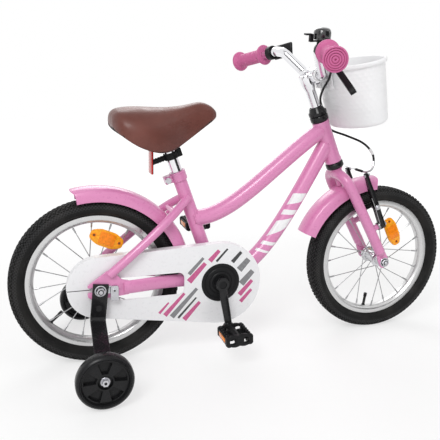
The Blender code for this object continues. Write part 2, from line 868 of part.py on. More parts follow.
def seat_clamp():
    """The collar at the top of the seat tube, with an ear behind for its bolt."""
    low = SEAT_TUBE_LENGTH + GAP
    matrix = frame_matrix(seat(low), SEAT_UP, SEAT_FORWARD)
    height = 0.020
    outer = SEAT_TUBE_RADIUS + 0.003
    collar = ring("seat_clamp", POST_RADIUS + GAP, outer, 0, height, matrix, PINK)
    back = -outer - 0.006
    ear = box("seat_clamp_ear", (0.016, 0.018, height * 0.8), (back, 0, height / 2), None, matrix)
    bolt_hole = rod(
        "seat_clamp_hole",
        matrix @ Vector((back - 0.002, -0.03, height / 2)),
        matrix @ Vector((back - 0.002, 0.03, height / 2)),
        0.003 + GAP,
        sides=12,
    )
    cut(unite(collar, ear), bolt_hole)
    bolt_point = matrix @ Vector((back - 0.002, 0, height / 2))
    shank = cross_rod("seat_clamp_bolt", bolt_point, 0.003, -0.014, 0.014, ZINC, 12)
    head = cross_rod("seat_clamp_head", bolt_point, 0.0065, -0.0155, -0.009 - GAP, sides=12)
    nut = cross_rod("seat_clamp_nut", bolt_point, 0.0055, 0.009 + GAP, 0.0145, sides=6)
    return [collar, unite(shank, head, nut)]


def bridge_point():
    """Where the seat stays pass BRIDGE_RADIUS from the rear axle, on the centre plane."""
    path = [Vector((point.x, 0, point.z)) for point in seat_stay_path(LEFT)]
    for low, high in zip(path, path[1:]):
        low_reach = (low - REAR_AXLE).length
        high_reach = (high - REAR_AXLE).length
        if low_reach <= BRIDGE_RADIUS <= high_reach:
            return low.lerp(high, (BRIDGE_RADIUS - low_reach) / (high_reach - low_reach))
    return path[-1]


def stay_bridge():
    """The bar between the seat stays, with the bolt that holds the rear mudguard."""
    point = bridge_point()
    out = (point - REAR_AXLE).normalized()
    half = BRIDGE_HALF_WIDTH
    bar = cross_rod("stay_bridge", point, BRIDGE_BAR_RADIUS, -half, half, PINK, 12)
    for label, side in SIDES.items():
        cope = tube(f"bridge_{label}_cope", seat_stay_path(side), STAY_RADIUS + GAP, fineness=2)
        cut(bar, cope)
    start = REAR_AXLE + (MUDGUARD_RADIUS + GAP) * out
    end = point + (BRIDGE_BAR_RADIUS + 0.002) * out
    bolt = rod("stay_bridge_bolt", start, end, 0.004, sides=12)
    return unite(bar, bolt)


# Drive


def gear(name, teeth, pitch_radius, low, high, boss_radius, boss_low, boss_high, bore, centre, look):
    """A toothed plate with a round boss, on a spindle or an axle across the bicycle."""
    outline = []
    for index in range(teeth):
        for part, radius in ((-0.5, -0.003), (-0.12, 0), (0.12, 0)):
            angle = 2 * math.pi * (index + part) / teeth
            reach = pitch_radius + radius
            outline.append((reach * math.cos(angle), reach * math.sin(angle)))
    obj = plate(name, [outline], low, high, side_plane(centre), look)
    boss = cross_rod(f"{name}_boss", centre, boss_radius, -boss_high, -boss_low, sides=20)
    hole = cross_rod(f"{name}_bore", centre, bore, -boss_high - 0.01, 0, sides=20)
    return cut(unite(obj, boss), hole)


def chainring():
    low = CHAIN_LINE - GEAR_THICKNESS / 2
    high = CHAIN_LINE + GEAR_THICKNESS / 2
    boss_low = BRACKET_SHELL_WIDTH / 2 + GAP
    boss_high = GUARD_OUTER - 0.004 - GAP
    return gear(
        "chainring",
        CHAINRING_TEETH,
        CHAINRING_RADIUS,
        low,
        high,
        0.018,
        boss_low,
        boss_high,
        SPINDLE_RADIUS + GAP,
        BRACKET,
        BLACK_STEEL,
    )


def sprocket():
    low = CHAIN_LINE - GEAR_THICKNESS / 2
    high = CHAIN_LINE + GEAR_THICKNESS / 2
    return gear(
        "rear_sprocket",
        SPROCKET_TEETH,
        SPROCKET_RADIUS,
        low,
        high,
        0.014,
        CHAIN_LINE - SPROCKET_BOSS / 2,
        CHAIN_LINE + SPROCKET_BOSS / 2,
        AXLE_RADIUS + GAP,
        REAR_AXLE,
        ZINC,
    )


def chain():
    """The chain as a plain band that runs just outside the tooth tips."""
    bracket_centre = (BRACKET_FORWARD, -BRACKET_DROP)
    loops = [
        belt(
            (0, 0),
            SPROCKET_RADIUS + extra,
            bracket_centre,
            CHAINRING_RADIUS + extra,
            20,
        )
        for extra in (GAP + CHAIN_HEIGHT, GAP)
    ]
    low = CHAIN_LINE - CHAIN_WIDTH / 2
    return plate("chain", loops, low, low + CHAIN_WIDTH, side_plane(REAR_AXLE), ZINC)


def guard_shell(name):
    """The chain guard's tray, open towards the wheel."""
    centre = (BRACKET_FORWARD + 0.002, -BRACKET_DROP - 0.003)
    plane = side_plane(REAR_AXLE)
    outer = belt((0, 0), GUARD_REAR_RADIUS, centre, GUARD_FRONT_RADIUS, 18)
    inner = belt(
        (0, 0),
        GUARD_REAR_RADIUS - GUARD_WALL,
        centre,
        GUARD_FRONT_RADIUS - GUARD_WALL,
        18,
    )
    tray = plate(name, [outer], GUARD_INNER, GUARD_OUTER, plane, WHITE_PLASTIC)
    hollow = plate(f"{name}_hollow", [inner], GUARD_INNER - 0.01, GUARD_OUTER - GUARD_WALL, plane)
    disc_hole = cross_rod(
        f"{name}_disc_hole",
        BRACKET,
        GUARD_DISC_RADIUS + 0.001,
        -GUARD_OUTER - 0.01,
        -GUARD_INNER,
        sides=32,
    )
    slot_outline = rounded_box((0.030, -0.030), (0.177, 0.019), 0.014)
    slot = plate(f"{name}_slot", [slot_outline], GUARD_INNER, GUARD_OUTER + 0.01, plane)
    nut_hole = cross_rod(
        f"{name}_axle_hole", REAR_AXLE, 0.013, -GUARD_OUTER - 0.01, -GUARD_INNER, sides=20
    )
    return cut(tray, hollow, disc_hole, slot, nut_hole)


def cap_block(name, grown):
    """The space below and behind the rear axle where the guard's cap goes."""
    right = -0.006 + grown
    top = -0.002 + grown
    size = (0.1, 0.1, 0.1)
    return box(name, size, REAR_AXLE + Vector((right - 0.05, -0.05, top - 0.05)))


def chain_guard():
    guard = cut(guard_shell("chain_guard"), cap_block("guard_cap_space", 0))
    cap = keep_within(guard_shell("chain_guard_cap"), cap_block("guard_cap_block", -GAP))
    return [guard, cap]


def crank_direction(side):
    lean = CRANK_ANGLE
    down = Vector((math.sin(lean), 0, -math.cos(lean)))
    return down if side == RIGHT else -down


def pedal_axis(side):
    return BRACKET + CRANK_LENGTH * crank_direction(side)


def crank_arm(label, side):
    """A crank with a boss on the spindle and an eye for the pedal, splayed outwards."""
    boss_in = GUARD_OUTER + 0.003 + GAP
    boss_out = boss_in + 0.016
    eye_out = PEDAL_OFFSET - PEDAL_WIDTH / 2 - 0.003
    eye_in = eye_out - 0.012
    low, high = sorted((side * boss_in, side * boss_out))
    obj = cross_rod(f"{label}_crank", BRACKET, 0.015, low, high, BLACK_STEEL, 20)
    start = BRACKET + side * (boss_in + boss_out) / 2 * ACROSS
    end = pedal_axis(side) + side * (eye_in + eye_out) / 2 * ACROSS
    along = end - start
    thickness = 0.010
    arm_plane = frame_matrix(start, along.cross(ACROSS).cross(along), along)
    outline = [(0, -0.0115), (along.length, -0.0085), (along.length, 0.0085), (0, 0.0115)]
    arm = plate(f"{label}_crank_arm", [outline], -thickness / 2, thickness / 2, arm_plane)
    low, high = sorted((side * eye_in, side * eye_out))
    eye = cross_rod(f"{label}_crank_eye", pedal_axis(side), 0.0125, low, high, sides=20)
    hole_low, hole_high = sorted((side * (boss_in - 0.01), side * (boss_out - 0.004)))
    hole = cross_rod(
        f"{label}_crank_hole", BRACKET, SPINDLE_RADIUS + GAP, hole_low, hole_high, sides=20
    )
    return cut(unite(obj, arm, eye), hole)


def crank_spindle():
    reach = GUARD_OUTER + 0.003 + 0.010
    return cross_rod("crank_spindle", BRACKET, SPINDLE_RADIUS, -reach, reach, ZINC)


def crank_cover():
    """The black disc that turns with the crank in the guard's round window."""
    low = GUARD_OUTER - 0.004
    high = GUARD_OUTER + 0.003
    profile = [
        (SPINDLE_RADIUS + GAP, low),
        (SPINDLE_RADIUS + GAP, high),
        (GUARD_DISC_RADIUS - 0.003, high),
        (GUARD_DISC_RADIUS, high - 0.002),
        (GUARD_DISC_RADIUS, low),
    ]
    return turned("crank_cover", profile, side_plane(BRACKET), BLACK_PLASTIC, 28, closed=True)


def pedal(label, side):
    """A cage pedal: a rounded frame around a barrel, with a stub into the crank's eye."""
    half = PEDAL_LENGTH / 2
    wall = 0.007
    barrel = 0.0105
    inner = PEDAL_OFFSET - PEDAL_WIDTH / 2
    outer = PEDAL_OFFSET + PEDAL_WIDTH / 2
    centre = pedal_axis(side)
    turn = Matrix.Rotation(-PEDAL_TILT, 4, "Y")
    plane = Matrix.Translation(centre) @ turn
    edges = sorted((side * inner, side * outer))
    hole_edges = (edges[0] + wall, edges[1] - wall)
    loops = [rounded_box((-half, edges[0]), (half, edges[1]), 0.009, 3)]
    for direction in (-1, 1):
        low, high = sorted((direction * (barrel - 0.001), direction * (half - wall)))
        loops.append(rounded_box((low, hole_edges[0]), (high, hole_edges[1]), 0.004, 2))
    cage = plate(f"{label}_pedal", loops, -PEDAL_HEIGHT / 2, PEDAL_HEIGHT / 2, plane, BLACK_PLASTIC)
    ends = sorted((side * (inner - 0.003 + GAP), side * (outer - 0.002)))
    core = cross_rod(f"{label}_pedal_barrel", centre, barrel, *ends, sides=14)
    return unite(cage, core)


# Mudguards


def mudguard(name, centre, start, end, trim):
    """An arched guard between two angles in degrees from straight ahead, cut to an outline."""
    crown = MUDGUARD_RADIUS - MUDGUARD_THICKNESS / 2
    half = MUDGUARD_HALF_WIDTH - MUDGUARD_THICKNESS / 2
    side = [(crown - MUDGUARD_DEPTH, half), (crown - 0.55 * MUDGUARD_DEPTH, 0.96 * half)]
    for share in (0.86, 0.45):
        bow = 1 - math.sqrt(1 - share * share)
        side.append((crown - 0.42 * MUDGUARD_DEPTH * bow, 0.93 * half * share))
    profile = side + [(crown, 0)] + [(radius, -width) for radius, width in side[::-1]]
    steps = round((end - start) / MUDGUARD_STEP)
    matrix = side_plane(centre) @ Matrix.Rotation(math.radians(start), 4, "Z")
    obj = turned(name, profile, matrix, PINK, steps, angle=math.radians(end - start))
    shell = obj.modifiers.new("Thickness", "SOLIDIFY")
    shell.thickness = MUDGUARD_THICKNESS
    shell.offset = 0
    height = 2 * MUDGUARD_RADIUS + WHEEL_RADIUS
    return keep_within(obj, plate(f"{name}_trim", [trim], 0, height, Matrix()))


def rear_mudguard():
    """Its tongue behind is broad and round."""
    reach = MUDGUARD_HALF_WIDTH + 0.003
    tip = REAR_AXLE.x + MUDGUARD_RADIUS * math.cos(math.radians(REAR_MUDGUARD_END))
    trim = rounded_box((tip, -reach), (tip + WHEELBASE, reach), 0.0275, 6)
    end = REAR_MUDGUARD_END + 2
    return mudguard("rear_mudguard", REAR_AXLE, REAR_MUDGUARD_START, end, trim)


def front_mudguard():
    """It hangs from the fork's crown, a little behind the wheel's centre."""
    reach = MUDGUARD_HALF_WIDTH + 0.003
    centre = FRONT_AXLE - Vector((FRONT_MUDGUARD_BACK, 0, 0))
    tip = centre.x + MUDGUARD_RADIUS * math.cos(math.radians(FRONT_MUDGUARD_START))
    trim = rounded_box((tip - WHEELBASE, -reach), (tip, reach), 0.014, 5)
    start = FRONT_MUDGUARD_START - 2
    return mudguard("front_mudguard", centre, start, FRONT_MUDGUARD_END, trim)


# Fork and brake


def fork():
    """Steerer, crown, blades, dropouts and brake bosses, welded together."""
    bottom = steer(CROWN_HEIGHT, 0)
    top = steer(HEAD_TUBE_TOP + HEADSET_HEIGHT + LOCKNUT_HEIGHT - 0.002, 0)
    obj = rod("fork", bottom, top, STEERER_RADIUS, PINK, 20)
    path = [steer(BLADE_END, FORK_OFFSET - 0.002, RIGHT * BLADE_OFFSET)]
    path.append(steer(CROWN_HEIGHT, -0.004, RIGHT * BLADE_OFFSET))
    path.append(steer(CROWN_HEIGHT, -0.004, LEFT * BLADE_OFFSET))
    path.append(steer(BLADE_END, FORK_OFFSET - 0.002, LEFT * BLADE_OFFSET))
    blades = tube("fork_blades", filleted(path, CROWN_BEND, 6), BLADE_RADIUS)
    unite(obj, blades)
    middle = (BLADE_END - 0.012 + 0.010) / 2
    for label, side in SIDES.items():
        tab_centre = side * (FRONT_DROPOUT_INNER + DROPOUT_THICKNESS / 2)
        tab_matrix = frame_matrix(FRONT_AXLE, STEER_UP, STEER_FORWARD)
        tab = box(
            f"fork_{label}_tab",
            (0.024, DROPOUT_THICKNESS, BLADE_END + 0.022),
            (-0.001, tab_centre, middle),
            None,
            tab_matrix,
        )
        boss = rod(
            f"fork_{label}_boss",
            steer(BRAKE_PIVOT_HEIGHT, FORK_OFFSET * 0.6, side * BRAKE_ARM_OFFSET),
            steer(BRAKE_PIVOT_HEIGHT, BRAKE_PIVOT_FORWARD + 0.007, side * BRAKE_ARM_OFFSET),
            0.004,
            sides=12,
        )
        collar = rod(
            f"fork_{label}_boss_collar",
            steer(BRAKE_PIVOT_HEIGHT, FORK_OFFSET * 0.6, side * BRAKE_ARM_OFFSET),
            steer(
                BRAKE_PIVOT_HEIGHT, BRAKE_PIVOT_FORWARD - 0.006 - GAP, side * BRAKE_ARM_OFFSET
            ),
            0.007,
            sides=14,
        )
        unite(obj, tab, boss, collar)
    stub_low = MUDGUARD_RADIUS + FRONT_MUDGUARD_BACK * math.cos(HEAD_ANGLE) + 2 * GAP
    stub = rod("fork_stub", steer(stub_low, -0.004), steer(CROWN_HEIGHT, -0.004), 0.006, sides=12)
    unite(obj, stub)
    quill_bore = rod(
        "fork_quill_bore", steer(0.290, 0), steer(0.5, 0), QUILL_RADIUS + GAP, sides=20
    )
    axle_hole = cross_rod("fork_axle_hole", FRONT_AXLE, AXLE_RADIUS + GAP, -0.08, 0.08)
    return cut(obj, quill_bore, axle_hole)


def brake_arm(label, side):
    """A linear-pull brake arm with its pad, on a boss of the fork."""
    pivot = steer(BRAKE_PIVOT_HEIGHT, BRAKE_PIVOT_FORWARD)
    plane = frame_matrix(pivot, -STEER_FORWARD, STEER_UP)
    y = side * BRAKE_ARM_OFFSET
    outline = [
        (-0.009, y - 0.0045),
        (-0.009, y + 0.0045),
        (-0.004, y + 0.0085),
        (0.008, y + 0.0075),
        (BRAKE_ARM_LENGTH, y + 0.0045),
        (BRAKE_ARM_LENGTH, y - 0.0045),
        (0.008, y - 0.0075),
        (-0.004, y - 0.0085),
    ]
    obj = plate(f"{label}_brake_arm", [outline], -0.006, 0.006, plane, BLACK_STEEL)
    hole = rod(
        f"{label}_brake_arm_hole",
        steer(BRAKE_PIVOT_HEIGHT, 0, y),
        steer(BRAKE_PIVOT_HEIGHT, 0.1, y),
        0.004 + GAP,
        sides=12,
    )
    pad_up = math.sqrt((RIM_RADIUS - 0.0075) ** 2 - 0.009**2)
    pad_low = RIM_WIDTH / 2 + 0.0022
    pad_high = pad_low + 0.009
    pad = box(
        f"{label}_brake_pad",
        (0.044, pad_high - pad_low, 0.008),
        (0.009, side * (pad_low + pad_high) / 2, pad_up),
        None,
        frame_matrix(FRONT_AXLE, STEER_UP, STEER_FORWARD),
    )
    stud_point = FRONT_AXLE + pad_up * STEER_UP
    reach = BRAKE_PIVOT_FORWARD - FORK_OFFSET
    stud_ends = sorted((side * (pad_low + 0.004), side * (BRAKE_ARM_OFFSET + 0.011)))
    stud = cross_rod(f"{label}_pad_stud", stud_point + reach * STEER_FORWARD, 0.003, *stud_ends, sides=10)
    return cut(unite(obj, pad, stud), hole)


def brake_cable():
    """The cable from the right lever, round the head tube's left side, to the brake arms."""
    crossing = BRAKE_PIVOT_HEIGHT + BRAKE_ARM_LENGTH + BRAKE_CABLE_RADIUS + 2 * GAP
    forward = BRAKE_PIVOT_FORWARD
    drop = STEM_HEIGHT - CROWN_HEIGHT
    outer_route = [
        lever_frame() @ Vector((CONTROL_REACH, 0, -LEVER_BARREL_END - 0.008)),
        steer(STEM_HEIGHT + 0.0193, 0.022, -0.358 * BAR_HALF_WIDTH),
        steer(STEM_HEIGHT - 0.0087, 0.028, -0.203 * BAR_HALF_WIDTH),
        steer(STEM_HEIGHT - 0.0367, 0.026, -0.006),
        steer(CROWN_HEIGHT + 0.730 * drop, 0.027, 0.024),
        steer(CROWN_HEIGHT + 0.620 * drop, 0.030, 0.034),
        steer(CROWN_HEIGHT + 0.519 * drop, 0.027, 0.030),
        steer(CROWN_HEIGHT + 0.414 * drop, 0.026, 0.018),
        steer(CROWN_HEIGHT + 0.309 * drop, 0.050, 0.002),
        steer(CROWN_HEIGHT + 0.199 * drop, 0.073, -0.017),
        steer(CROWN_HEIGHT + 0.103 * drop, 0.079, -0.035),
    ]
    noodle_route = [
        steer(0.246, 0.073, -0.047),
        steer(crossing + 0.004, 0.060, -0.052),
        steer(crossing, 0.050, -0.045),
        steer(crossing, forward, -0.034),
    ]
    boot_route = [steer(crossing, forward, -0.028), steer(crossing, forward, 0.002)]
    wire_route = [steer(crossing, forward, 0.006), steer(crossing, forward, 0.048)]
    start = lever_frame() @ Vector((CONTROL_REACH, 0, -LEVER_BARREL_END - GAP))
    outer = [start, *smooth_path(outer_route, 2)]
    noodle = smooth_path(noodle_route, 2)
    points = outer + noodle + boot_route + wire_route
    radii = [1.0] * len(outer) + [0.85] * len(noodle) + [1.0, 0.95, 0.4, 0.4]
    return tube("brake_cable", points, BRAKE_CABLE_RADIUS, BLACK_PLASTIC, 1, radii)


# Handlebar and what it carries


def bar_path():
    """The handlebar's centre line, from the right end to the left end."""
    rise = STEM_HEIGHT + BAR_RISE
    first_bend, second_bend = (share * BAR_HALF_WIDTH for share in BAR_BEND_SHARES)
    half = [
        (STEM_HEIGHT, STEM_REACH, BAR_INNER_BEND),
        (rise - 0.002, 0.0054, first_bend),
        (rise + 0.0016, 0.0033, second_bend),
        (rise - 0.002, -0.0448, BAR_HALF_WIDTH - 0.0035),
    ]
    right_half = [steer(up, forward, -across) for up, forward, across in half[::-1]]
    left_half = [steer(up, forward, across) for up, forward, across in half]
    return filleted(right_half + left_half, BAR_BEND_RADIUS, 3)


def bar_point(across):
    """The point of the handlebar's centre line at a distance across the bicycle."""
    path = bar_path()
    for low, high in zip(path, path[1:]):
        if low.y <= across <= high.y:
            return low.lerp(high, (across - low.y) / (high.y - low.y))
    return path[0] if across < 0 else path[-1]


def bar_direction(side):
    """The way a grip points: outwards along the handlebar's end."""
    path = bar_path()
    ends = (path[0] - path[1]) if side == RIGHT else (path[-1] - path[-2])
    return ends.normalized()


def handlebar():
    return tube("handlebar", bar_path(), BAR_RADIUS, CHROME)


def stem():
    """The quill stem: a post in the steerer, an arm, and a clamp around the handlebar."""
    obj = rod("stem", steer(0.300, 0), steer(STEM_HEIGHT - 0.006, 0), QUILL_RADIUS, CHROME, 20)
    locknut_top = HEAD_TUBE_TOP + HEADSET_HEIGHT + LOCKNUT_HEIGHT + 3 * GAP
    knee_start = max(STEM_HEIGHT - KNEE_BELOW, locknut_top)
    knee_end = STEM_HEIGHT + KNEE_ABOVE
    knee = rod("stem_knee", steer(knee_start, 0), steer(knee_end, 0), KNEE_RADIUS, sides=20)
    cap = rod("stem_bolt_cap", steer(STEM_HEIGHT, 0), steer(STEM_HEIGHT + 0.016, 0), 0.007, sides=6)
    clamp_point = steer(STEM_HEIGHT, STEM_REACH)
    half = STEM_CLAMP_WIDTH / 2
    clamp = cross_rod("stem_clamp", clamp_point, STEM_CLAMP_RADIUS, -half, half, sides=24)
    bolt = rod(
        "stem_pinch_bolt",
        steer(STEM_HEIGHT - STEM_CLAMP_RADIUS - 0.005, STEM_REACH + 0.002),
        steer(STEM_HEIGHT - STEM_CLAMP_RADIUS + 0.002, STEM_REACH + 0.002),
        0.0060,
        sides=6,
    )
    bore = cross_rod("stem_bore", clamp_point, BAR_RADIUS + GAP, -half - 0.01, half + 0.01, sides=24)
    return cut(unite(obj, knee, cap, clamp, bolt), bore)


def grip(label, side):
    """A soft grip with a broad ring at each end, closed outside and open inside."""
    outward = bar_direction(side)
    matrix = frame_matrix(bar_path()[0 if side == RIGHT else -1], outward, STEER_UP)
    end = 0.004
    inner_end = end - GRIP_LENGTH
    bore = BAR_RADIUS + GAP
    profile = [
        (0, end),
        (GRIP_FLANGE_RADIUS - 0.002, end),
        (GRIP_FLANGE_RADIUS, end - 0.003),
        (GRIP_FLANGE_RADIUS - 0.001, end - 0.007),
        (GRIP_RADIUS, end - 0.010),
        (GRIP_RADIUS, inner_end + 0.008),
        (GRIP_FLANGE_RADIUS - 0.001, inner_end + 0.005),
        (GRIP_FLANGE_RADIUS, inner_end + 0.001),
        (GRIP_FLANGE_RADIUS - 0.002, inner_end),
        (bore, inner_end),
        (bore, GAP),
        (0, GAP),
    ]
    return turned(f"{label}_grip", profile, matrix, GRIP_RUBBER, 20)


def control_frame(side, hang):
    """At a clamp beside the grip: Z outwards along the bar, X the way that the piece points."""
    return frame_matrix(bar_point(side * CONTROL_OFFSET), bar_direction(side), hang)


def lever_frame():
    return control_frame(RIGHT, Vector((math.cos(LEVER_DROOP), 0, -math.sin(LEVER_DROOP))))


def control_clamp(name, matrix):
    half = CLAMP_WIDTH / 2
    outer = BAR_RADIUS + CLAMP_WALL
    return ring(name, BAR_RADIUS + GAP, outer, -half, half, matrix, BLACK_PLASTIC, 16)


def bar_cutter(name, matrix):
    start = matrix @ Vector((0, 0, -0.04))
    return rod(name, start, matrix @ Vector((0, 0, 0.04)), BAR_RADIUS + GAP, sides=16)


def lever_bracket():
    """The clamp and housing that hold the brake lever on the handlebar."""
    matrix = lever_frame()
    obj = control_clamp("lever_bracket", matrix)
    body = box("lever_body", (0.026, 0.013, 0.024), (0.0265, 0, -0.005), None, matrix)
    barrel = rod(
        "lever_barrel",
        matrix @ Vector((CONTROL_REACH, 0, -LEVER_BARREL_END / 2)),
        matrix @ Vector((CONTROL_REACH, 0, -LEVER_BARREL_END)),
        0.005,
        sides=12,
    )
    return cut(unite(obj, body, barrel), bar_cutter("lever_trim", matrix))


def lever_pivot():
    return lever_frame() @ Vector((CONTROL_REACH, 0, 0.012))


def brake_lever():
    """A hooked blade that lies in front of the grip, hinged in its bracket."""
    plane = lever_frame() @ Matrix.Rotation(-math.pi / 2, 4, "X")
    base = CONTROL_REACH
    start = CLAMP_WIDTH / 2 + 0.0005 + GAP
    tip = base + 0.034
    outline = [
        (base + 0.006, -start),
        (base + 0.012, -0.030),
        (tip, -LEVER_LENGTH + 0.006),
        (tip + 0.012, -LEVER_LENGTH),
        (tip + 0.010, -LEVER_LENGTH + 0.018),
        (base + 0.024, -0.030),
        (base + 0.012, -start),
    ]
    return plate("brake_lever", [outline], -0.005, 0.005, plane, BLACK_PLASTIC)


def front_reflector():
    """The white reflector in its black holder, clamped beside the left grip."""
    matrix = control_frame(LEFT, Vector((1, 0, 0)))
    obj = control_clamp("front_reflector", matrix)
    holder = box("front_reflector_holder", (0.008, 0.024, 0.056), (0.0225, 0, -0.020), None, matrix)
    arm = box("front_reflector_arm", (0.010, 0.010, 0.012), (0.0160, 0, 0), None, matrix)
    return cut(unite(obj, holder, arm), bar_cutter("front_reflector_trim", matrix))


def bell_frame():
    """At the bell's foot, on the bar's upper side between the riser and the right lever."""
    along = bar_direction(RIGHT)
    up = (Vector((0, 0, 1)) - along * along.z).normalized()
    return frame_matrix(bar_point(-BELL_OFFSET), up, Vector((1, 0, 0)))


def bell():
    """A domed bell on a strap round the handlebar."""
    matrix = bell_frame()
    base = BAR_RADIUS + BELL_FOOT_HEIGHT
    dome = turned(
        "bell",
        [
            (0, base + BELL_HEIGHT),
            (BELL_RADIUS * 0.62, base + BELL_HEIGHT - 0.001),
            (BELL_RADIUS * 0.90, base + BELL_HEIGHT - 0.006),
            (BELL_RADIUS, base + BELL_HEIGHT - 0.014),
            (BELL_RADIUS, base + 0.003),
            (0, base + 0.003),
        ],
        matrix,
        BLACK_STEEL,
        18,
    )
    foot = rod(
        "bell_foot",
        matrix @ Vector((0, 0, BAR_RADIUS - 0.004)),
        matrix @ Vector((0, 0, base + 0.006)),
        BELL_FOOT_RADIUS,
        sides=16,
    )
    along = bar_point(-BELL_OFFSET - 0.001) - bar_point(-BELL_OFFSET + 0.001)
    strap_matrix = frame_matrix(bar_point(-BELL_OFFSET), along, STEER_UP)
    strap = ring("bell_strap", BAR_RADIUS + GAP, BAR_RADIUS + 0.003, -0.005, 0.005, strap_matrix, steps=16)
    hole = rod(
        "bell_hole",
        strap_matrix @ Vector((0, 0, -0.02)),
        strap_matrix @ Vector((0, 0, 0.02)),
        BAR_RADIUS + GAP,
        sides=24,
    )
    return cut(unite(dome, strap, foot), hole)


def bell_pivot():
    """The foot of the thumb lever's pin, just behind the bell's own foot."""
    back = BELL_FOOT_RADIUS + GAP + BELL_PIVOT_RADIUS
    return bell_frame() @ Vector((-back, 0, BAR_RADIUS + BELL_FOOT_HEIGHT))


def bell_lever():
    """The thumb striker behind the bell, on a round eye beside its foot."""
    matrix = bell_frame()
    matrix.translation = bell_pivot()
    thin = 0.003
    eye_low = matrix @ Vector((0, 0, -thin / 2))
    eye_high = matrix @ Vector((0, 0, thin / 2))
    eye = rod("bell_lever", eye_low, eye_high, BELL_PIVOT_RADIUS, BLACK_PLASTIC, 12)
    arm = box("bell_lever_arm", (0.013, 0.005, thin), (-0.0065, 0, 0), None, matrix)
    block = box("bell_lever_block", (0.007, 0.008, 0.015), (-0.0105, 0, 0.006), None, matrix)
    thumb = box("bell_lever_thumb", (0.014, 0.011, thin), (-0.0170, 0, 0.013), None, matrix)
    return unite(eye, arm, block, thumb)


def basket_frame():
    """At the middle of the basket's rim, with Z along the basket's axis."""
    up = Vector((-math.sin(BASKET_LEAN), 0, math.cos(BASKET_LEAN)))
    origin = steer(STEM_HEIGHT, STEM_REACH) + Vector((BASKET_FORWARD, 0, BASKET_ABOVE))
    return frame_matrix(origin, up, Vector((1, 0, 0)))


def basket():
    """An oval tapered tub with an outward lip, open at the top."""
    shape = bmesh.new()
    bmesh.ops.create_cone(
        shape,
        cap_ends=True,
        segments=36,
        radius1=BASKET_TAPER,
        radius2=1,
        depth=BASKET_HEIGHT,
    )
    top = [face for face in shape.faces if face.calc_center_median().z > BASKET_HEIGHT * 0.49]
    bmesh.ops.delete(shape, geom=top, context="FACES_ONLY")
    size = (BASKET_DEPTH / 2, BASKET_WIDTH / 2, 1)
    bmesh.ops.scale(shape, vec=size, verts=shape.verts)
    bmesh.ops.translate(shape, vec=(0, 0, -BASKET_HEIGHT / 2), verts=shape.verts)
    edge = [e for e in shape.edges if e.is_boundary]
    lip = bmesh.ops.extrude_edge_only(shape, edges=edge)["geom"]
    lip_points = [v for v in lip if isinstance(v, bmesh.types.BMVert)]
    grow = (1 + 2 * BASKET_LIP / BASKET_DEPTH, 1 + 2 * BASKET_LIP / BASKET_WIDTH, 1)
    bmesh.ops.scale(shape, vec=grow, verts=lip_points)
    obj = from_bmesh("basket", shape, WHITE_PLASTIC, basket_frame())
    walls = obj.modifiers.new("Walls", "SOLIDIFY")
    walls.thickness = BASKET_WALL
    walls.offset = -1
    return smooth(obj)


def basket_bracket():
    """Two hooks round the handlebar, joined by a plate behind the basket."""
    matrix = basket_frame()
    back = -BASKET_DEPTH / 2 - 0.0005
    size = (0.003, 0.080, 0.038)
    obj = box("basket_bracket", size, (back - 0.0015, 0, -0.026), WHITE_PLASTIC, matrix)
    centre = steer(STEM_HEIGHT, STEM_REACH)
    for label, side in SIDES.items():
        across = side * BASKET_HOOK_OFFSET
        low, high = across - 0.0035, across + 0.0035
        hook = cross_rod(f"basket_{label}_hook", centre, BAR_RADIUS + 0.0035, low, high, sides=16)
        end = matrix @ Vector((back - 0.001, across, -0.032))
        start = centre + across * ACROSS
        unite(obj, hook, rod(f"basket_{label}_link", start, end, 0.0045, sides=8))
    hole = cross_rod("basket_bracket_hole", centre, BAR_RADIUS + GAP, -0.06, 0.06, sides=16)
    return cut(obj, hole)


# Seat


def seat_post():
    return rod("seat_post", seat(POST_BOTTOM), seat(POST_TOP), POST_RADIUS, CHROME, 24)


def saddle_clamp():
    """The clamp at the top of the seat post that carries the saddle."""
    low = POST_TOP - 0.026
    matrix = frame_matrix(seat(low), SEAT_UP, SEAT_FORWARD)
    obj = ring("saddle_clamp", POST_RADIUS + GAP, POST_RADIUS + 0.004, 0, 0.024, matrix, ZINC)
    arm = cross_rod("saddle_clamp_bar", seat(low + 0.012, 0.0), 0.007, -0.034, 0.034, sides=12)
    bore = rod("saddle_clamp_bore", seat(low - 0.01), seat(POST_TOP + 0.01), POST_RADIUS + GAP, sides=24)
    return cut(unite(obj, arm), bore)


def saddle():
    """The saddle's cushion: a crown, deep rear wings, a nose and a hollow underside.

    SADDLE_STATIONS holds each section's place ahead of the post, its half width, and its
    top and lower edge from SADDLE_HEIGHT.
    """
    centre = seat(POST_TOP).x
    seat_top = seat(POST_TOP, POST_RADIUS).z + GAP
    shape = bmesh.new()
    loops = []
    for forward, half, top_offset, low_offset in SADDLE_STATIONS:
        top = SADDLE_HEIGHT + top_offset
        low = SADDLE_HEIGHT + low_offset
        under = max(low + 0.004, seat_top)
        section = [
            (0, top),
            (0.45, top - 0.002),
            (0.82, top - 0.25 * (top - low)),
            (1.0, top - 0.62 * (top - low)),
            (0.97, low),
            (0.80, low + 0.001),
            (0.66, under),
            (0, under),
        ]
        full = section + [(-share, height) for share, height in section[-2:0:-1]]
        loops.append(
            [shape.verts.new((centre + forward, share * half, height)) for share, height in full]
        )
    for back, ahead in zip(loops, loops[1:]):
        for index in range(len(back)):
            after = (index + 1) % len(back)
            shape.faces.new((back[index], back[after], ahead[after], ahead[index]))
    shape.faces.new(loops[0][::-1])
    shape.faces.new(loops[-1])
    obj = from_bmesh("saddle", shape, BROWN, Matrix())
    rounding = obj.modifiers.new("Rounding", "SUBSURF")
    rounding.levels = 1
    rounding.render_levels = 1
    obj.data.shade_smooth()
    return obj


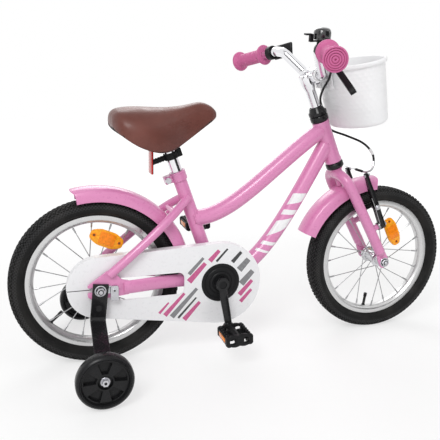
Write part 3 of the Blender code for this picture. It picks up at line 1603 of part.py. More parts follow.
def rear_reflector():
    """A red reflector behind the seat post, on a band round it."""
    matrix = frame_matrix(seat(REFLECTOR_CLAMP_HEIGHT), SEAT_UP, SEAT_FORWARD)
    obj = ring("rear_reflector", POST_RADIUS + GAP, POST_RADIUS + 0.003, -0.007, 0.007, matrix, RED)
    arm = box("reflector_arm", (0.030, 0.012, 0.010), (-0.0295, 0, 0), None, matrix)
    upright = Matrix.Translation(seat(REFLECTOR_CLAMP_HEIGHT) + Vector((-0.042, 0, -0.012)))
    face = box("reflector_plate", (0.004, 0.032, 0.050), (0, 0, 0), None, upright)
    return unite(obj, arm, face)


# Stabilisers


def stabiliser_point(side):
    height = STABILISER_RADIUS + STABILISER_CLEARANCE
    back = (REAR_AXLE.z - height) * math.tan(STABILISER_LEAN)
    return Vector((REAR_AXLE.x - back, side * STABILISER_TRACK, height))


def stabiliser_bracket(label, side):
    """A bent flat bar from the rear axle down and out to the small wheel, with its bolt."""
    inner = REAR_DROPOUT_OUTER + TUG_THICKNESS
    wheel_face = STABILISER_TRACK - STABILISER_WIDTH / 2 - 0.0015
    wheel = stabiliser_point(side)
    drop = (REAR_AXLE.z - wheel.z) / math.cos(STABILISER_LEAN)
    half = BRACKET_BAR_THICKNESS / 2
    path = [
        Vector((0, inner + half, 0.014)),
        Vector((0, inner + half, -0.062)),
        Vector((0, wheel_face - half, -drop + 0.016)),
        Vector((0, wheel_face - half, -drop - 0.014)),
    ]
    path = filleted(path, 0.012, 3)
    normals = []
    for index in range(len(path)):
        before = path[max(index - 1, 0)]
        after = path[min(index + 1, len(path) - 1)]
        run = (after - before).normalized()
        normals.append(Vector((0, -run.z, run.y)))
    left_edge = [p + half * n for p, n in zip(path, normals)]
    right_edge = [p - half * n for p, n in zip(path, normals)]
    outline = [(p.y, p.z) for p in left_edge + right_edge[::-1]]
    ahead = Vector((math.cos(STABILISER_LEAN), 0, -math.sin(STABILISER_LEAN)))
    plane = frame_matrix(REAR_AXLE, ahead, ACROSS)
    if side == RIGHT:
        outline = [(-across, up) for across, up in outline[::-1]]
    width = BRACKET_BAR_WIDTH / 2
    obj = plate(f"{label}_stabiliser_bracket", [outline], -width, width, plane, BLACK_STEEL)
    axle_ends = sorted((side * (inner - 0.01), side * (inner + 0.02)))
    hole = cross_rod(f"{label}_bracket_hole", REAR_AXLE, AXLE_RADIUS + GAP, *axle_ends)
    cut(obj, hole)
    outer_face = STABILISER_TRACK + STABILISER_WIDTH / 2
    bolt_ends = sorted((side * (wheel_face - 0.003), side * (outer_face - 0.004)))
    head_ends = sorted((side * (outer_face - 0.0095), side * (outer_face - 0.002)))
    bolt = cross_rod(f"{label}_stabiliser_bolt", wheel, AXLE_RADIUS, *bolt_ends)
    head = cross_rod(f"{label}_stabiliser_nut", wheel, NUT_RADIUS, *head_ends, sides=6)
    return unite(obj, bolt, head)


def stabiliser_wheel(label, side):
    """A small wheel with a recessed web on both faces."""
    half = STABILISER_WIDTH / 2
    radius = STABILISER_RADIUS / math.cos(math.pi / STABILISER_STEPS)
    recess = half - 0.010
    upper = [
        (AXLE_RADIUS + GAP, recess),
        (0.015, recess),
        (radius * 0.72, recess),
        (radius * 0.80, half),
        (radius - 0.005, half),
        (radius, half - 0.006),
    ]
    profile = upper + [(r, -z) for r, z in upper[::-1]]
    matrix = side_plane(stabiliser_point(side)) @ Matrix.Rotation(math.pi / STABILISER_STEPS, 4, "Z")
    name = f"{label}_stabiliser_wheel"
    return turned(name, profile, matrix, BLACK_PLASTIC, STABILISER_STEPS, closed=True)


def chain_tug(label, side):
    """The band and block that set the axle's place in one dropout."""
    low = REAR_DROPOUT_OUTER + GAP
    high = REAR_DROPOUT_OUTER + TUG_THICKNESS - GAP
    outline = rounded_box((-0.008, -0.008), (0.024, 0.008), 0.003, 2)
    hole = circle((0, 0), AXLE_RADIUS + GAP, 16)
    block = rounded_box((0.020, -0.023), (0.036, 0.008), 0.004, 2)
    plane = side_plane(REAR_AXLE)
    band_ends = sorted((-side * low, -side * high))
    block_ends = sorted((-side * low, -side * (low + 0.006)))
    obj = plate(f"{label}_chain_tug", [outline, hole], *band_ends, plane, ZINC)
    return unite(obj, plate(f"{label}_chain_tug_block", [block], *block_ends, plane))


# Bodies


def group(name, pivot, objects):
    """Parents a body's pieces to an empty on the axis that the body turns or slides on."""
    empty = bpy.data.objects.new(f"{name}_axis", None)
    PARTS.objects.link(empty)
    place(empty, Matrix.Translation(pivot))
    for obj in objects:
        obj.parent = empty
        obj.matrix_parent_inverse = empty.matrix_world.inverted()
    return empty


def build():
    cups, locknut = headset()
    frame_parts = [head_tube(), *cups, seat_tube(), top_tube(), down_tube()]
    frame_parts += [rear_stays(label, side) for label, side in SIDES.items()]
    frame_parts += [*seat_clamp(), stay_bridge(), *chain_guard(), chain()]
    frame_parts += [chain_tug(label, side) for label, side in SIDES.items()]
    frame_parts.append(rear_mudguard())
    nut_face = REAR_DROPOUT_OUTER + TUG_THICKNESS + BRACKET_BAR_THICKNESS
    frame_parts.append(rear_axle(nut_face))
    frame_parts += [stabiliser_bracket(label, side) for label, side in SIDES.items()]
    group("frame", REAR_AXLE, frame_parts)

    first = REAR_REFLECTOR_ANGLE - spoke_at(REAR_REFLECTOR_RADIUS)[1]
    right_end = CHAIN_LINE - SPROCKET_BOSS / 2 - GAP
    rear_hub = hub("rear_hub", REAR_AXLE, right_end, REAR_DROPOUT_INNER - 0.006, first)
    rear_reflector_piece = wheel_reflector(
        "rear_wheel_reflector", REAR_AXLE, REAR_REFLECTOR_RADIUS, REAR_REFLECTOR_ANGLE, REAR_REFLECTOR_TILT
    )
    rear_pieces = [tyre("rear_tyre", REAR_AXLE), rim("rear_rim", REAR_AXLE), rear_hub]
    group("rear_wheel", REAR_AXLE, [*rear_pieces, rear_reflector_piece])
    group("sprocket", REAR_AXLE, [sprocket()])

    hub_end = FRONT_DROPOUT_INNER - 0.006
    front_reflector_piece = wheel_reflector(
        "front_wheel_reflector",
        FRONT_AXLE,
        FRONT_REFLECTOR_RADIUS,
        FRONT_REFLECTOR_ANGLE,
        FRONT_REFLECTOR_TILT,
    )
    front_pieces = [tyre("front_tyre", FRONT_AXLE), rim("front_rim", FRONT_AXLE)]
    first = FRONT_REFLECTOR_ANGLE - spoke_at(FRONT_REFLECTOR_RADIUS)[1]
    front_pieces.append(hub("front_hub", FRONT_AXLE, hub_end, hub_end, first))
    front_pieces.append(front_reflector_piece)
    group("front_wheel", FRONT_AXLE, front_pieces)

    cranks = [crank_arm(label, side) for label, side in SIDES.items()]
    group("crank", BRACKET, [crank_spindle(), crank_cover(), chainring(), *cranks])
    for label, side in SIDES.items():
        group(f"{label}_pedal", pedal_axis(side), [pedal(label, side)])
        wheel = stabiliser_wheel(label, side)
        group(f"{label}_stabiliser", stabiliser_point(side), [wheel])

    steering = [fork(), *locknut, handlebar(), stem(), brake_cable()]
    steering += [grip(label, side) for label, side in SIDES.items()]
    steering += [lever_bracket(), front_reflector()]
    steering += [bell(), basket(), basket_bracket()]
    steering.append(front_mudguard())
    front_axle_piece = wheel_axle(
        "front_axle", FRONT_AXLE, FRONT_DROPOUT_INNER, FRONT_DROPOUT_INNER + DROPOUT_THICKNESS, 0.006
    )
    group("steering", STEER_FOOT, [*steering, front_axle_piece])
    for label, side in SIDES.items():
        pivot = steer(BRAKE_PIVOT_HEIGHT, BRAKE_PIVOT_FORWARD, side * BRAKE_ARM_OFFSET)
        group(f"{label}_brake", pivot, [brake_arm(label, side)])
    group("lever", lever_pivot(), [brake_lever()])
    group("bell_lever", bell_pivot(), [bell_lever()])
    seat_pieces = [seat_post(), saddle_clamp(), saddle(), rear_reflector()]
    group("seat", seat(SEAT_TUBE_LENGTH), seat_pieces)


def rear_axle(nut_face):
    """The rear axle, with a cone inside each dropout and a nut on each bracket."""
    nut = 0.009
    shaft = cross_rod(
        "rear_axle", REAR_AXLE, AXLE_RADIUS, -nut_face - nut - 0.002, nut_face + nut + 0.002, ZINC
    )
    for label, side in SIDES.items():
        start = REAR_DROPOUT_INNER - (0.0055 if side == LEFT else 0.008)
        cone = sorted((side * start, side * (REAR_DROPOUT_INNER - GAP)))
        head = sorted((side * (nut_face + GAP), side * (nut_face + nut)))
        unite(
            shaft,
            cross_rod(f"rear_axle_{label}_cone", REAR_AXLE, CONE_RADIUS, *cone),
            cross_rod(f"rear_axle_{label}_nut", REAR_AXLE, NUT_RADIUS, *head, sides=6),
        )
    return shaft


build()
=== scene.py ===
"""The looks of a child's bicycle with stabilisers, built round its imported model, in metres.

+X is forward, +Y is the rider's left and +Z is up, as in the model.
"""

import json
import math
import random

import bmesh
import bpy
from mathutils import Matrix, Vector


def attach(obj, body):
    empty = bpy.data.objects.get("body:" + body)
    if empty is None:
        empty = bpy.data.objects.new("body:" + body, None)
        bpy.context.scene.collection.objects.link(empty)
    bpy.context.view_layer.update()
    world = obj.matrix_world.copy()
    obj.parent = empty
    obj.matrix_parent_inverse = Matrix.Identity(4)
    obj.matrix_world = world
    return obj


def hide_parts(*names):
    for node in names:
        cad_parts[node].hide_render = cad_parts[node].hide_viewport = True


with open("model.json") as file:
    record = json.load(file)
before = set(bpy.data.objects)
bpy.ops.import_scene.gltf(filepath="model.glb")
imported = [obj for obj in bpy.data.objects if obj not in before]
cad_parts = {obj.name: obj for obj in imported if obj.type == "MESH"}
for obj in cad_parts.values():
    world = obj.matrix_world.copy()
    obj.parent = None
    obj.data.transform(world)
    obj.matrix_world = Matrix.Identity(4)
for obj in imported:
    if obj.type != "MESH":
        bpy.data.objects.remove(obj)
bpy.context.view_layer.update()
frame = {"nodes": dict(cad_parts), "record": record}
random.seed(7)

# Wheels
GAP = 0.0003
WHEEL_RADIUS = 0.174
WHEELBASE = 0.664
TYRE_WIDTH = 0.048
RIM_RADIUS = 0.143
RIM_WIDTH = 0.026
RIM_DEPTH = 0.018
HUB_FLANGE_RADIUS = 0.019
HUB_FLANGE_OFFSET = 0.022
HUB_BARREL_RADIUS = 0.012
SPOKE_RADIUS = 0.001
SPOKE_COUNT = 20
SPOKE_END_OFFSET = 0.003
SPOKE_CROSSING = 0.0013
SPOKE_LEAD = math.radians(52)
SPOKE_START = 0.016
SPOKE_END = (RIM_RADIUS - RIM_DEPTH) * math.cos(math.pi / 36) - 2 * GAP
AXLE_RADIUS = 0.005
REFLECTOR_LENGTH = 0.070
REFLECTOR_HEIGHT = 0.034
REFLECTOR_THICKNESS = 0.006
REAR_REFLECTOR = (0.093, math.radians(77), math.radians(-10))
FRONT_REFLECTOR = (0.074, math.radians(60), math.radians(-37))

# Frame
BRACKET_FORWARD = 0.256
BRACKET_DROP = 0.0115
BRACKET_SHELL_RADIUS = 0.020
BRACKET_SHELL_WIDTH = 0.070
SEAT_ANGLE = math.radians(70.1)
SEAT_TUBE_LENGTH = 0.2313
SEAT_TUBE_RADIUS = 0.0143
MAIN_TUBE_RADIUS = 0.0175
TOP_TUBE_LOW = 0.142
TOP_TUBE_HIGH = 0.3483
DOWN_TUBE_HIGH = 0.3167
REAR_DROPOUT_INNER = 0.0545
REAR_DROPOUT_OUTER = 0.0595
STAY_RADIUS = 0.009
CHAIN_STAY_HEIGHT = 0.028
CHAIN_STAY_WIDTH = 0.013
SEAT_STAY_HIGH = 0.1914

# Steering
HEAD_ANGLE = math.radians(66.5)
FORK_OFFSET = 0.021
HEAD_TUBE_RADIUS = 0.018
HEAD_TUBE_BASE = 0.2676
HEAD_TUBE_LENGTH = 0.099
HEAD_TUBE_TOP = HEAD_TUBE_BASE + HEAD_TUBE_LENGTH
HEADSET_HEIGHT = 0.0155
LOCKNUT_HEIGHT = 0.018
STEERER_RADIUS = 0.0127
QUILL_RADIUS = 0.011
CROWN_HEIGHT = 0.2385
CROWN_BEND = 0.042
BLADE_RADIUS = 0.012
BLADE_OFFSET = 0.0465
BLADE_END = 0.030
FRONT_DROPOUT_INNER = 0.044
STEM_HEIGHT = 0.4667
STEM_REACH = 0.021
STEM_CLAMP_RADIUS = 0.0165
STEM_CLAMP_WIDTH = 0.040
BAR_RADIUS = 0.011
BAR_RISE = 0.061
BAR_HALF_WIDTH = 0.246
BAR_BENDS = (0.3455 * BAR_HALF_WIDTH, 0.4797 * BAR_HALF_WIDTH)
GRIP_LENGTH = 0.3902 * BAR_HALF_WIDTH
GRIP_RADIUS = 0.0155
GRIP_FLANGE_RADIUS = 0.0235
CONTROL_OFFSET = 0.5488 * BAR_HALF_WIDTH
CONTROL_REACH = 0.034
CLAMP_WIDTH = 0.014
LEVER_DROOP = math.radians(53)
LEVER_LENGTH = 0.088
LEVER_BARREL_END = 0.024
BRAKE_PIVOT_HEIGHT = 0.0885
BRAKE_PIVOT_FORWARD = 0.0465
BRAKE_ARM_OFFSET = 0.042
BRAKE_ARM_LENGTH = 0.1335
CABLE_RADIUS = 0.0025
BASKET_HEIGHT = 0.138
BASKET_DEPTH = 0.132
BASKET_WIDTH = 0.208
BASKET_TAPER = 0.86
BASKET_LEAN = math.radians(14)
BASKET_FORWARD = 0.082
BASKET_ABOVE = 0.031
BASKET_HOOK_OFFSET = 0.0245
BASKET_WALL = 0.0022
BASKET_LIP = 0.004
BELL_RADIUS = 0.0175
BELL_HEIGHT = 0.026
BELL_OFFSET = 0.4106 * BAR_HALF_WIDTH
BELL_FOOT_HEIGHT = 0.006

# Drive
CRANK_LENGTH = 0.093
CRANK_ANGLE = math.radians(6.9)
PEDAL_OFFSET = 0.119
PEDAL_LENGTH = 0.058
PEDAL_WIDTH = 0.062
PEDAL_HEIGHT = 0.026
PEDAL_TILT = math.radians(3)
GUARD_REAR_RADIUS = 0.064
GUARD_FRONT_RADIUS = 0.090
GUARD_OUTER = 0.049
GUARD_INNER = 0.0305
GUARD_WALL = 0.0022
GUARD_DISC_RADIUS = 0.039

# Mudguards
MUDGUARD_RADIUS = 0.201
MUDGUARD_HALF_WIDTH = 0.029
MUDGUARD_DEPTH = 0.028
MUDGUARD_THICKNESS = 0.002
REAR_MUDGUARD = (17, 104)
FRONT_MUDGUARD = (90.5, 157.5)
FRONT_MUDGUARD_BACK = 0.016

# Seat
POST_RADIUS = 0.0127
POST_BOTTOM = 0.155
POST_TOP = 0.341
SADDLE_HEIGHT = 0.532
SADDLE_STATIONS = (
    (-0.106, 0.046, -0.008, -0.034),
    (-0.092, 0.068, -0.001, -0.054),
    (-0.059, 0.078, 0.000, -0.074),
    (-0.021, 0.074, -0.001, -0.086),
    (0.011, 0.058, -0.001, -0.083),
    (0.045, 0.037, 0.003, -0.066),
    (0.077, 0.027, 0.011, -0.045),
    (0.101, 0.022, 0.009, -0.030),
    (0.113, 0.013, 0.002, -0.018),
)
REFLECTOR_CLAMP_HEIGHT = 0.287

# Stabilisers
STABILISER_RADIUS = 0.053
STABILISER_WIDTH = 0.028
STABILISER_TRACK = 0.208
STABILISER_CLEARANCE = 0.003
STABILISER_LEAN = math.radians(6)
BRACKET_BAR_WIDTH = 0.031
BRACKET_BAR_THICKNESS = 0.004
TUG_THICKNESS = 0.003

RIGHT = -1
LEFT = 1
SIDES = {"right": RIGHT, "left": LEFT}
ACROSS = Vector((0, 1, 0))
FORWARD = Vector((1, 0, 0))
UPWARD = Vector((0, 0, 1))
REAR_AXLE = Vector((-WHEELBASE / 2, 0, WHEEL_RADIUS))
FRONT_AXLE = Vector((WHEELBASE / 2, 0, WHEEL_RADIUS))
STEER_UP = Vector((-math.cos(HEAD_ANGLE), 0, math.sin(HEAD_ANGLE)))
STEER_FORWARD = Vector((math.sin(HEAD_ANGLE), 0, math.cos(HEAD_ANGLE)))
STEER_FOOT = FRONT_AXLE - FORK_OFFSET * STEER_FORWARD
BRACKET = REAR_AXLE + Vector((BRACKET_FORWARD, 0, -BRACKET_DROP))
SEAT_UP = Vector((-math.cos(SEAT_ANGLE), 0, math.sin(SEAT_ANGLE)))
SEAT_FORWARD = Vector((math.sin(SEAT_ANGLE), 0, math.cos(SEAT_ANGLE)))


def rear(forward, across, up):
    """A point measured from the rear axle."""
    return REAR_AXLE + Vector((forward, across, up))


def steer(up, forward, across=0.0):
    """A point measured along the steering axis, from the foot of the fork's offset."""
    return STEER_FOOT + up * STEER_UP + forward * STEER_FORWARD + across * ACROSS


def seat(up, forward=0.0, across=0.0):
    """A point measured along the seat tube, from the bottom bracket."""
    return BRACKET + up * SEAT_UP + forward * SEAT_FORWARD + across * ACROSS


def frame_matrix(origin, up, forward):
    """A frame at origin with local Z along up and local X as near to forward as it can be."""
    z_axis = up.normalized()
    y_axis = z_axis.cross(forward).normalized()
    x_axis = y_axis.cross(z_axis)
    turned = Matrix((x_axis, y_axis, z_axis)).transposed().to_4x4()
    return Matrix.Translation(origin) @ turned


def side_plane(origin):
    """Local X forward, local Y up and local Z towards the bicycle's right."""
    return frame_matrix(origin, -ACROSS, FORWARD)


def upright(point):
    """Local Z across the bicycle and local X forward."""
    return frame_matrix(point, ACROSS, FORWARD)


REAR_PLANE = side_plane(REAR_AXLE)

# Finishes


class Finish:
    """A material being wired: its shader, and a pattern read in the piece's own place."""

    def __init__(self, name, roughness, metallic=0.0, coat=0.0):
        self.material = bpy.data.materials.new(name)
        self.material.use_nodes = True
        self.nodes = self.material.node_tree.nodes
        self.links = self.material.node_tree.links
        self.shader = self.nodes["Principled BSDF"]
        self.set("Roughness", roughness)
        self.set("Metallic", metallic)
        self.set("Coat Weight", coat)
        self.set("Coat Roughness", 0.06)
        if roughness > 0.3 and not coat:
            self.set("Specular IOR Level", 0.32)
        self.place = self.nodes.new("ShaderNodeTexCoord").outputs["Object"]

    def wire(self, socket, value):
        """Links a socket to another node's result, or sets it to a plain value."""
        if isinstance(value, bpy.types.NodeSocket):
            self.links.new(value, socket)
        else:
            socket.default_value = value

    def set(self, socket, value):
        self.wire(self.shader.inputs[socket], value)

    def node(self, kind, settings=(), **inputs):
        """A node with its settings, and each named or numbered input linked or set."""
        made = self.nodes.new(kind)
        for key, value in dict(settings).items():
            setattr(made, key, value)
        for key, value in inputs.items():
            self.wire(made.inputs[int(key[1:])] if key[1:].isdigit() else made.inputs[key], value)
        return made

    def noise(self, scale, detail=3.0, place=None):
        source = self.place if place is None else place
        return self.node(
            "ShaderNodeTexNoise", Vector=source, Scale=scale, Detail=detail
        ).outputs["Fac"]

    def sum(self, operation, *values):
        """One step of arithmetic."""
        inputs = {f"_{index}": value for index, value in enumerate(values)}
        return self.node("ShaderNodeMath", {"operation": operation}, **inputs).outputs[0]

    def range(self, value, low, high, to_low=0.0, to_high=1.0):
        made = self.node("ShaderNodeMapRange", _0=value, _1=low, _2=high, _3=to_low, _4=to_high)
        return made.outputs[0]

    def mix(self, share, first, second):
        """Two colours mixed by a share."""
        return self.node(
            "ShaderNodeMix", {"data_type": "RGBA"}, _0=share, _6=first, _7=second
        ).outputs[2]

    def bump(self, height, distance):
        made = self.node("ShaderNodeBump", Height=height, Distance=distance, Strength=1.0)
        self.set("Normal", made.outputs[0])


def shade(colour, factor):
    return tuple(min(1.0, channel * factor) for channel in colour[:3]) + (1.0,)


def plain_finish(
    name, colour, roughness, metallic=0.0, coat=0.0, grain=(900.0, 0.00002), mottle=0.06, shine=None
):
    """A finish with a slight drift of colour and gloss and a fine surface grain."""
    made = Finish(name, roughness, metallic, coat)
    if shine is not None:
        made.set("Specular IOR Level", shine)
    drift = made.noise(35.0, 4.0)
    made.set("Base Color", made.mix(drift, shade(colour, 1 - mottle), shade(colour, 1 + mottle)))
    rub = made.noise(140.0, 5.0)
    made.set("Roughness", made.range(rub, 0.3, 0.7, roughness * 0.8, roughness * 1.25))
    made.bump(made.noise(grain[0], 2.0), grain[1])
    return made.material


PINK_COLOUR = (0.69, 0.240, 0.465, 1.0)
PINK = plain_finish(
    "pink_paint", PINK_COLOUR, 0.30, coat=0.60, grain=(110.0, 0.000001), mottle=0.02
)
PINK.node_tree.nodes["Principled BSDF"].inputs["Coat Roughness"].default_value = 0.15
BLACK_PLASTIC = plain_finish(
    "black_plastic", (0.011, 0.011, 0.012, 1), 0.40, grain=(2200.0, 0.00003), mottle=0.15,
    shine=0.16,
)
BLACK_PAINT = plain_finish(
    "black_paint", (0.010, 0.010, 0.011, 1), 0.25, coat=0.30, grain=(500.0, 0.000003), mottle=0.12,
    shine=0.16,
)
BELL_LOOK = plain_finish(
    "bell_enamel", (0.011, 0.011, 0.012, 1), 0.20, coat=0.90, grain=(500.0, 0.000002), mottle=0.06
)
CHROME = plain_finish(
    "chrome", (0.82, 0.82, 0.84, 1), 0.10, 1.0, grain=(300.0, 0.000004), mottle=0.02
)
SILVER = plain_finish(
    "silver_alloy", (0.66, 0.66, 0.68, 1), 0.30, 1.0, grain=(1800.0, 0.00001), mottle=0.05
)
ZINC = plain_finish(
    "zinc_steel", (0.60, 0.60, 0.63, 1), 0.30, 1.0, grain=(1400.0, 0.00003), mottle=0.10
)
GRIP = plain_finish(
    "pink_rubber", (0.58, 0.135, 0.310, 1), 0.46, grain=(1800.0, 0.00001), mottle=0.02
)
PIN_BLACK = plain_finish(
    "soft_black", (0.012, 0.012, 0.013, 1), 0.6, grain=(900.0, 0.00005), mottle=0.2
)


# Shapes


def placed(data, sharp=None):
    """A mesh or a curve as an object, smooth up to an angle where one is given."""
    obj = bpy.data.objects.new("shape", data)
    bpy.context.scene.collection.objects.link(obj)
    if sharp is not None:
        data.shade_smooth()
        data.set_sharp_from_angle(angle=math.radians(sharp))
    return obj


def keep(shape, look, matrix=None, sharp=25):
    """A bmesh as a piece: its place in its mesh, facing out, smooth up to an angle."""
    bmesh.ops.remove_doubles(shape, verts=shape.verts, dist=1e-7)
    bmesh.ops.recalc_face_normals(shape, faces=shape.faces)
    mesh = bpy.data.meshes.new("shape")
    shape.to_mesh(mesh)
    shape.free()
    if matrix is not None:
        mesh.transform(matrix)
        if matrix.determinant() < 0:
            mesh.flip_normals()
    mesh.materials.append(look)
    return placed(mesh, sharp)


def settled(obj, sharp=25):
    """The object with its modifiers worked into its mesh."""
    graph = bpy.context.evaluated_depsgraph_get()
    mesh = bpy.data.meshes.new_from_object(obj.evaluated_get(graph))
    bpy.data.objects.remove(obj, do_unlink=True)
    return placed(mesh, sharp)


def bevelled(obj, width, segments=2, limit=38, sharp=25):
    edges = obj.modifiers.new("Edges", "BEVEL")
    edges.width = width
    edges.segments = segments
    edges.limit_method = "ANGLE"
    edges.angle_limit = math.radians(limit)
    return settled(obj, sharp)


def carved(target, cutters, operation="DIFFERENCE", sharp=25):
    """The target less its cutters, which are then removed."""
    for cutter in cutters:
        step = target.modifiers.new("Cut", "BOOLEAN")
        step.operation = operation
        step.object = cutter
    made = settled(target, sharp)
    for cutter in cutters:
        bpy.data.objects.remove(cutter, do_unlink=True)
    return made


def thickened(obj, thickness, offset):
    """A surface made a shell: to its outside at one, to both sides at nought."""
    step = obj.modifiers.new("Thickness", "SOLIDIFY")
    step.thickness = thickness
    step.offset = offset
    return settled(obj, 60)


def skin(shape, rings, round_path, round_section, flipped=False):
    """Faces between neighbouring rings of points, round where the path or the section is closed."""
    pairs = list(zip(rings, rings[1:]))
    if round_path:
        pairs.append((rings[-1], rings[0]))
    count = len(rings[0])
    for near, far in pairs:
        for here in range(count if round_section else count - 1):
            after = (here + 1) % count
            if flipped:
                shape.faces.new((near[here], near[after], far[after], far[here]))
            else:
                shape.faces.new((near[here], far[here], far[after], near[after]))


def joined(pieces):
    """Several pieces as one, each with its own finish."""
    shape = bmesh.new()
    looks = []
    for piece in pieces:
        start = len(shape.faces)
        shape.from_mesh(piece.data)
        shape.faces.ensure_lookup_table()
        slots = []
        for look in piece.data.materials:
            if look not in looks:
                looks.append(look)
            slots.append(looks.index(look))
        for face in shape.faces[start:]:
            face.material_index = slots[min(face.material_index, len(slots) - 1)]
        bpy.data.objects.remove(piece, do_unlink=True)
    mesh = bpy.data.meshes.new("shape")
    shape.to_mesh(mesh)
    shape.free()
    for look in looks:
        mesh.materials.append(look)
    return placed(mesh)


def lathe(profile, matrix, look, steps=48, closed=False, turn=360.0, sharp=25):
    """A profile of (radius, height) points turned about local Z."""
    shape = bmesh.new()
    whole = turn >= 360
    rings = []
    for step in range(steps if whole else steps + 1):
        angle = math.radians(turn) * step / steps
        along, over = math.cos(angle), math.sin(angle)
        rings.append([shape.verts.new((r * along, r * over, height)) for r, height in profile])
    skin(shape, rings, whole, closed)
    return keep(shape, look, matrix, sharp)


def rod(start, end, radius, look, sides=32, end_radius=None, edge=0.0004):
    """A round bar or a cone between two points, its ends eased."""
    start, end = Vector(start), Vector(end)
    length = (end - start).length
    far = radius if end_radius is None else end_radius
    edge = min(edge, radius / 3, length / 3)
    profile = [
        (0, 0), (radius - edge, 0), (radius, edge), (far, length - edge), (far - edge, length),
        (0, length),
    ]
    helper = FORWARD if abs((end - start).normalized().x) < 0.9 else ACROSS
    return lathe(profile, frame_matrix(start, end - start, helper), look, sides)


def bar(point, axis, low, high, radius, look, sides=32, end_radius=None, edge=0.0004):
    """A round bar along an axis through a point."""
    return rod(point + low * axis, point + high * axis, radius, look, sides, end_radius, edge)


def nut(point, axis, low, high, radius, look=ZINC, edge=0.0005):
    """A six-sided nut or bolt head along an axis through a point, its ends domed off."""
    return bar(point, axis, low, high, radius, look, 6, None, edge)


def ring(inner, outer, low, high, matrix, look, steps=48, edge=0.0004):
    profile = [
        (inner, low + edge), (inner, high - edge), (inner + edge, high), (outer - edge, high),
        (outer, high - edge), (outer, low + edge), (outer - edge, low), (inner + edge, low),
    ]
    return lathe(profile, matrix, look, steps, closed=True)


def hexagon(start, end, radius, look, edge=0.0005):
    """A six-sided nut or bolt head between two points, its ends domed off."""
    return rod(start, end, radius, look, 6, None, edge)


def block(size, centre, look, matrix=None, edge=0.0008, segments=2):
    """A box with its edges eased, centred at a point of the frame that matrix gives."""
    shape = bmesh.new()
    bmesh.ops.create_cube(shape, size=1)
    bmesh.ops.scale(shape, vec=size, verts=shape.verts)
    edge = min(edge, min(size) / 2.2)
    bmesh.ops.bevel(
        shape, geom=shape.edges, offset=edge, segments=segments, profile=0.5, affect="EDGES"
    )
    bmesh.ops.translate(shape, vec=centre, verts=shape.verts)
    return keep(shape, look, matrix)


def round_section(radius, sides):
    turns = [2 * math.pi * step / sides for step in range(sides)]
    return [(radius * math.cos(a), radius * math.sin(a)) for a in turns]


def sweep(points, sections, look, up=ACROSS, sharp=25, closed=False):
    """A closed section carried along a path. Its first number runs along up at the start."""
    points = [Vector(point) for point in points]
    count = len(points)
    ahead = []
    for index in range(count):
        after = (index + 1) % count if closed else min(index + 1, count - 1)
        before = index - 1 if closed else max(index - 1, 0)
        ahead.append((points[after] - points[before]).normalized())
    normal = (up - up.dot(ahead[0]) * ahead[0]).normalized()
    shape = bmesh.new()
    rings = []
    for index, point in enumerate(points):
        if index:
            normal = ahead[index - 1].rotation_difference(ahead[index]) @ normal
            normal = (normal - normal.dot(ahead[index]) * ahead[index]).normalized()
        side = ahead[index].cross(normal)
        section = sections[index] if isinstance(sections[0], list) else sections
        rings.append([shape.verts.new(point + x * normal + y * side) for x, y in section])
    skin(shape, rings, closed, True)
    if not closed:
        shape.faces.new(rings[0])
        shape.faces.new(rings[-1])
    return keep(shape, look, None, sharp)


def tube(points, radius, look, sides=24):
    """A round section carried along a path."""
    along = (Vector(points[1]) - Vector(points[0])).normalized()
    return sweep(
        points, round_section(radius, sides), look, UPWARD if abs(along.z) < 0.8 else ACROSS
    )


def plate(loops, low, high, matrix, look, edge=0.0006, segments=2):
    """An outline less its holes, filled from low to high, its edges eased."""
    data = bpy.data.curves.new("outline", "CURVE")
    data.dimensions = "2D"
    data.fill_mode = "BOTH"
    data.extrude = (high - low) / 2
    for loop in loops:
        spline = data.splines.new("POLY")
        spline.points.add(len(loop) - 1)
        spline.use_cyclic_u = True
        for point, (x, y) in zip(spline.points, loop):
            point.co = (x, y, 0, 1)
    solid = settled(placed(data))
    shape = bmesh.new()
    shape.from_mesh(solid.data)
    bpy.data.objects.remove(solid, do_unlink=True)
    bmesh.ops.remove_doubles(shape, verts=shape.verts, dist=1e-6)
    bmesh.ops.translate(shape, vec=(0, 0, (low + high) / 2), verts=shape.verts)
    if edge > 0:
        rims = [e for e in shape.edges if len(e.link_faces) == 2 and e.calc_face_angle() > 1.2]
        rims = [e for e in rims if abs(e.verts[0].co.z - e.verts[1].co.z) < 1e-6]
        bmesh.ops.bevel(
            shape, geom=rims, offset=edge, segments=segments, profile=0.5, affect="EDGES",
            clamp_overlap=True,
        )
    return keep(shape, look, matrix)


def side_plate(loops, low, high, look, edge=0.0006, segments=2):
    """A plate on the bicycle's right side, its outlines measured from the rear axle."""
    return plate(loops, low, high, REAR_PLANE, look, edge, segments)


def arc(centre, radius, start, end, count):
    """Points on an arc, with the angles in degrees."""
    angles = [math.radians(start + (end - start) * i / count) for i in range(count + 1)]
    return [(centre[0] + radius * math.cos(a), centre[1] + radius * math.sin(a)) for a in angles]


def circle(centre, radius, count):
    return arc(centre, radius, 0, 360, count)[:-1]


def belt(centre_a, radius_a, centre_b, radius_b, count):
    """The outline of a belt that runs around two circles, b ahead of a."""
    apart = Vector(centre_b) - Vector(centre_a)
    lean = math.degrees(math.atan2(apart.y, apart.x))
    spread = math.degrees(math.acos((radius_a - radius_b) / apart.length))
    around_b = arc(centre_b, radius_b, lean - spread, lean + spread, count)
    around_a = arc(centre_a, radius_a, lean + spread, lean + 360 - spread, count)
    return around_b + around_a


def rounded_box(low, high, radius, count=6):
    points = []
    left, right, bottom, top = low[0] + radius, high[0] - radius, low[1] + radius, high[1] - radius
    for x, y, start in (
        (right, top, 0), (left, top, 90), (left, bottom, 180), (right, bottom, 270)
    ):
        points += arc((x, y), radius, start, start + 90, count)
    return points


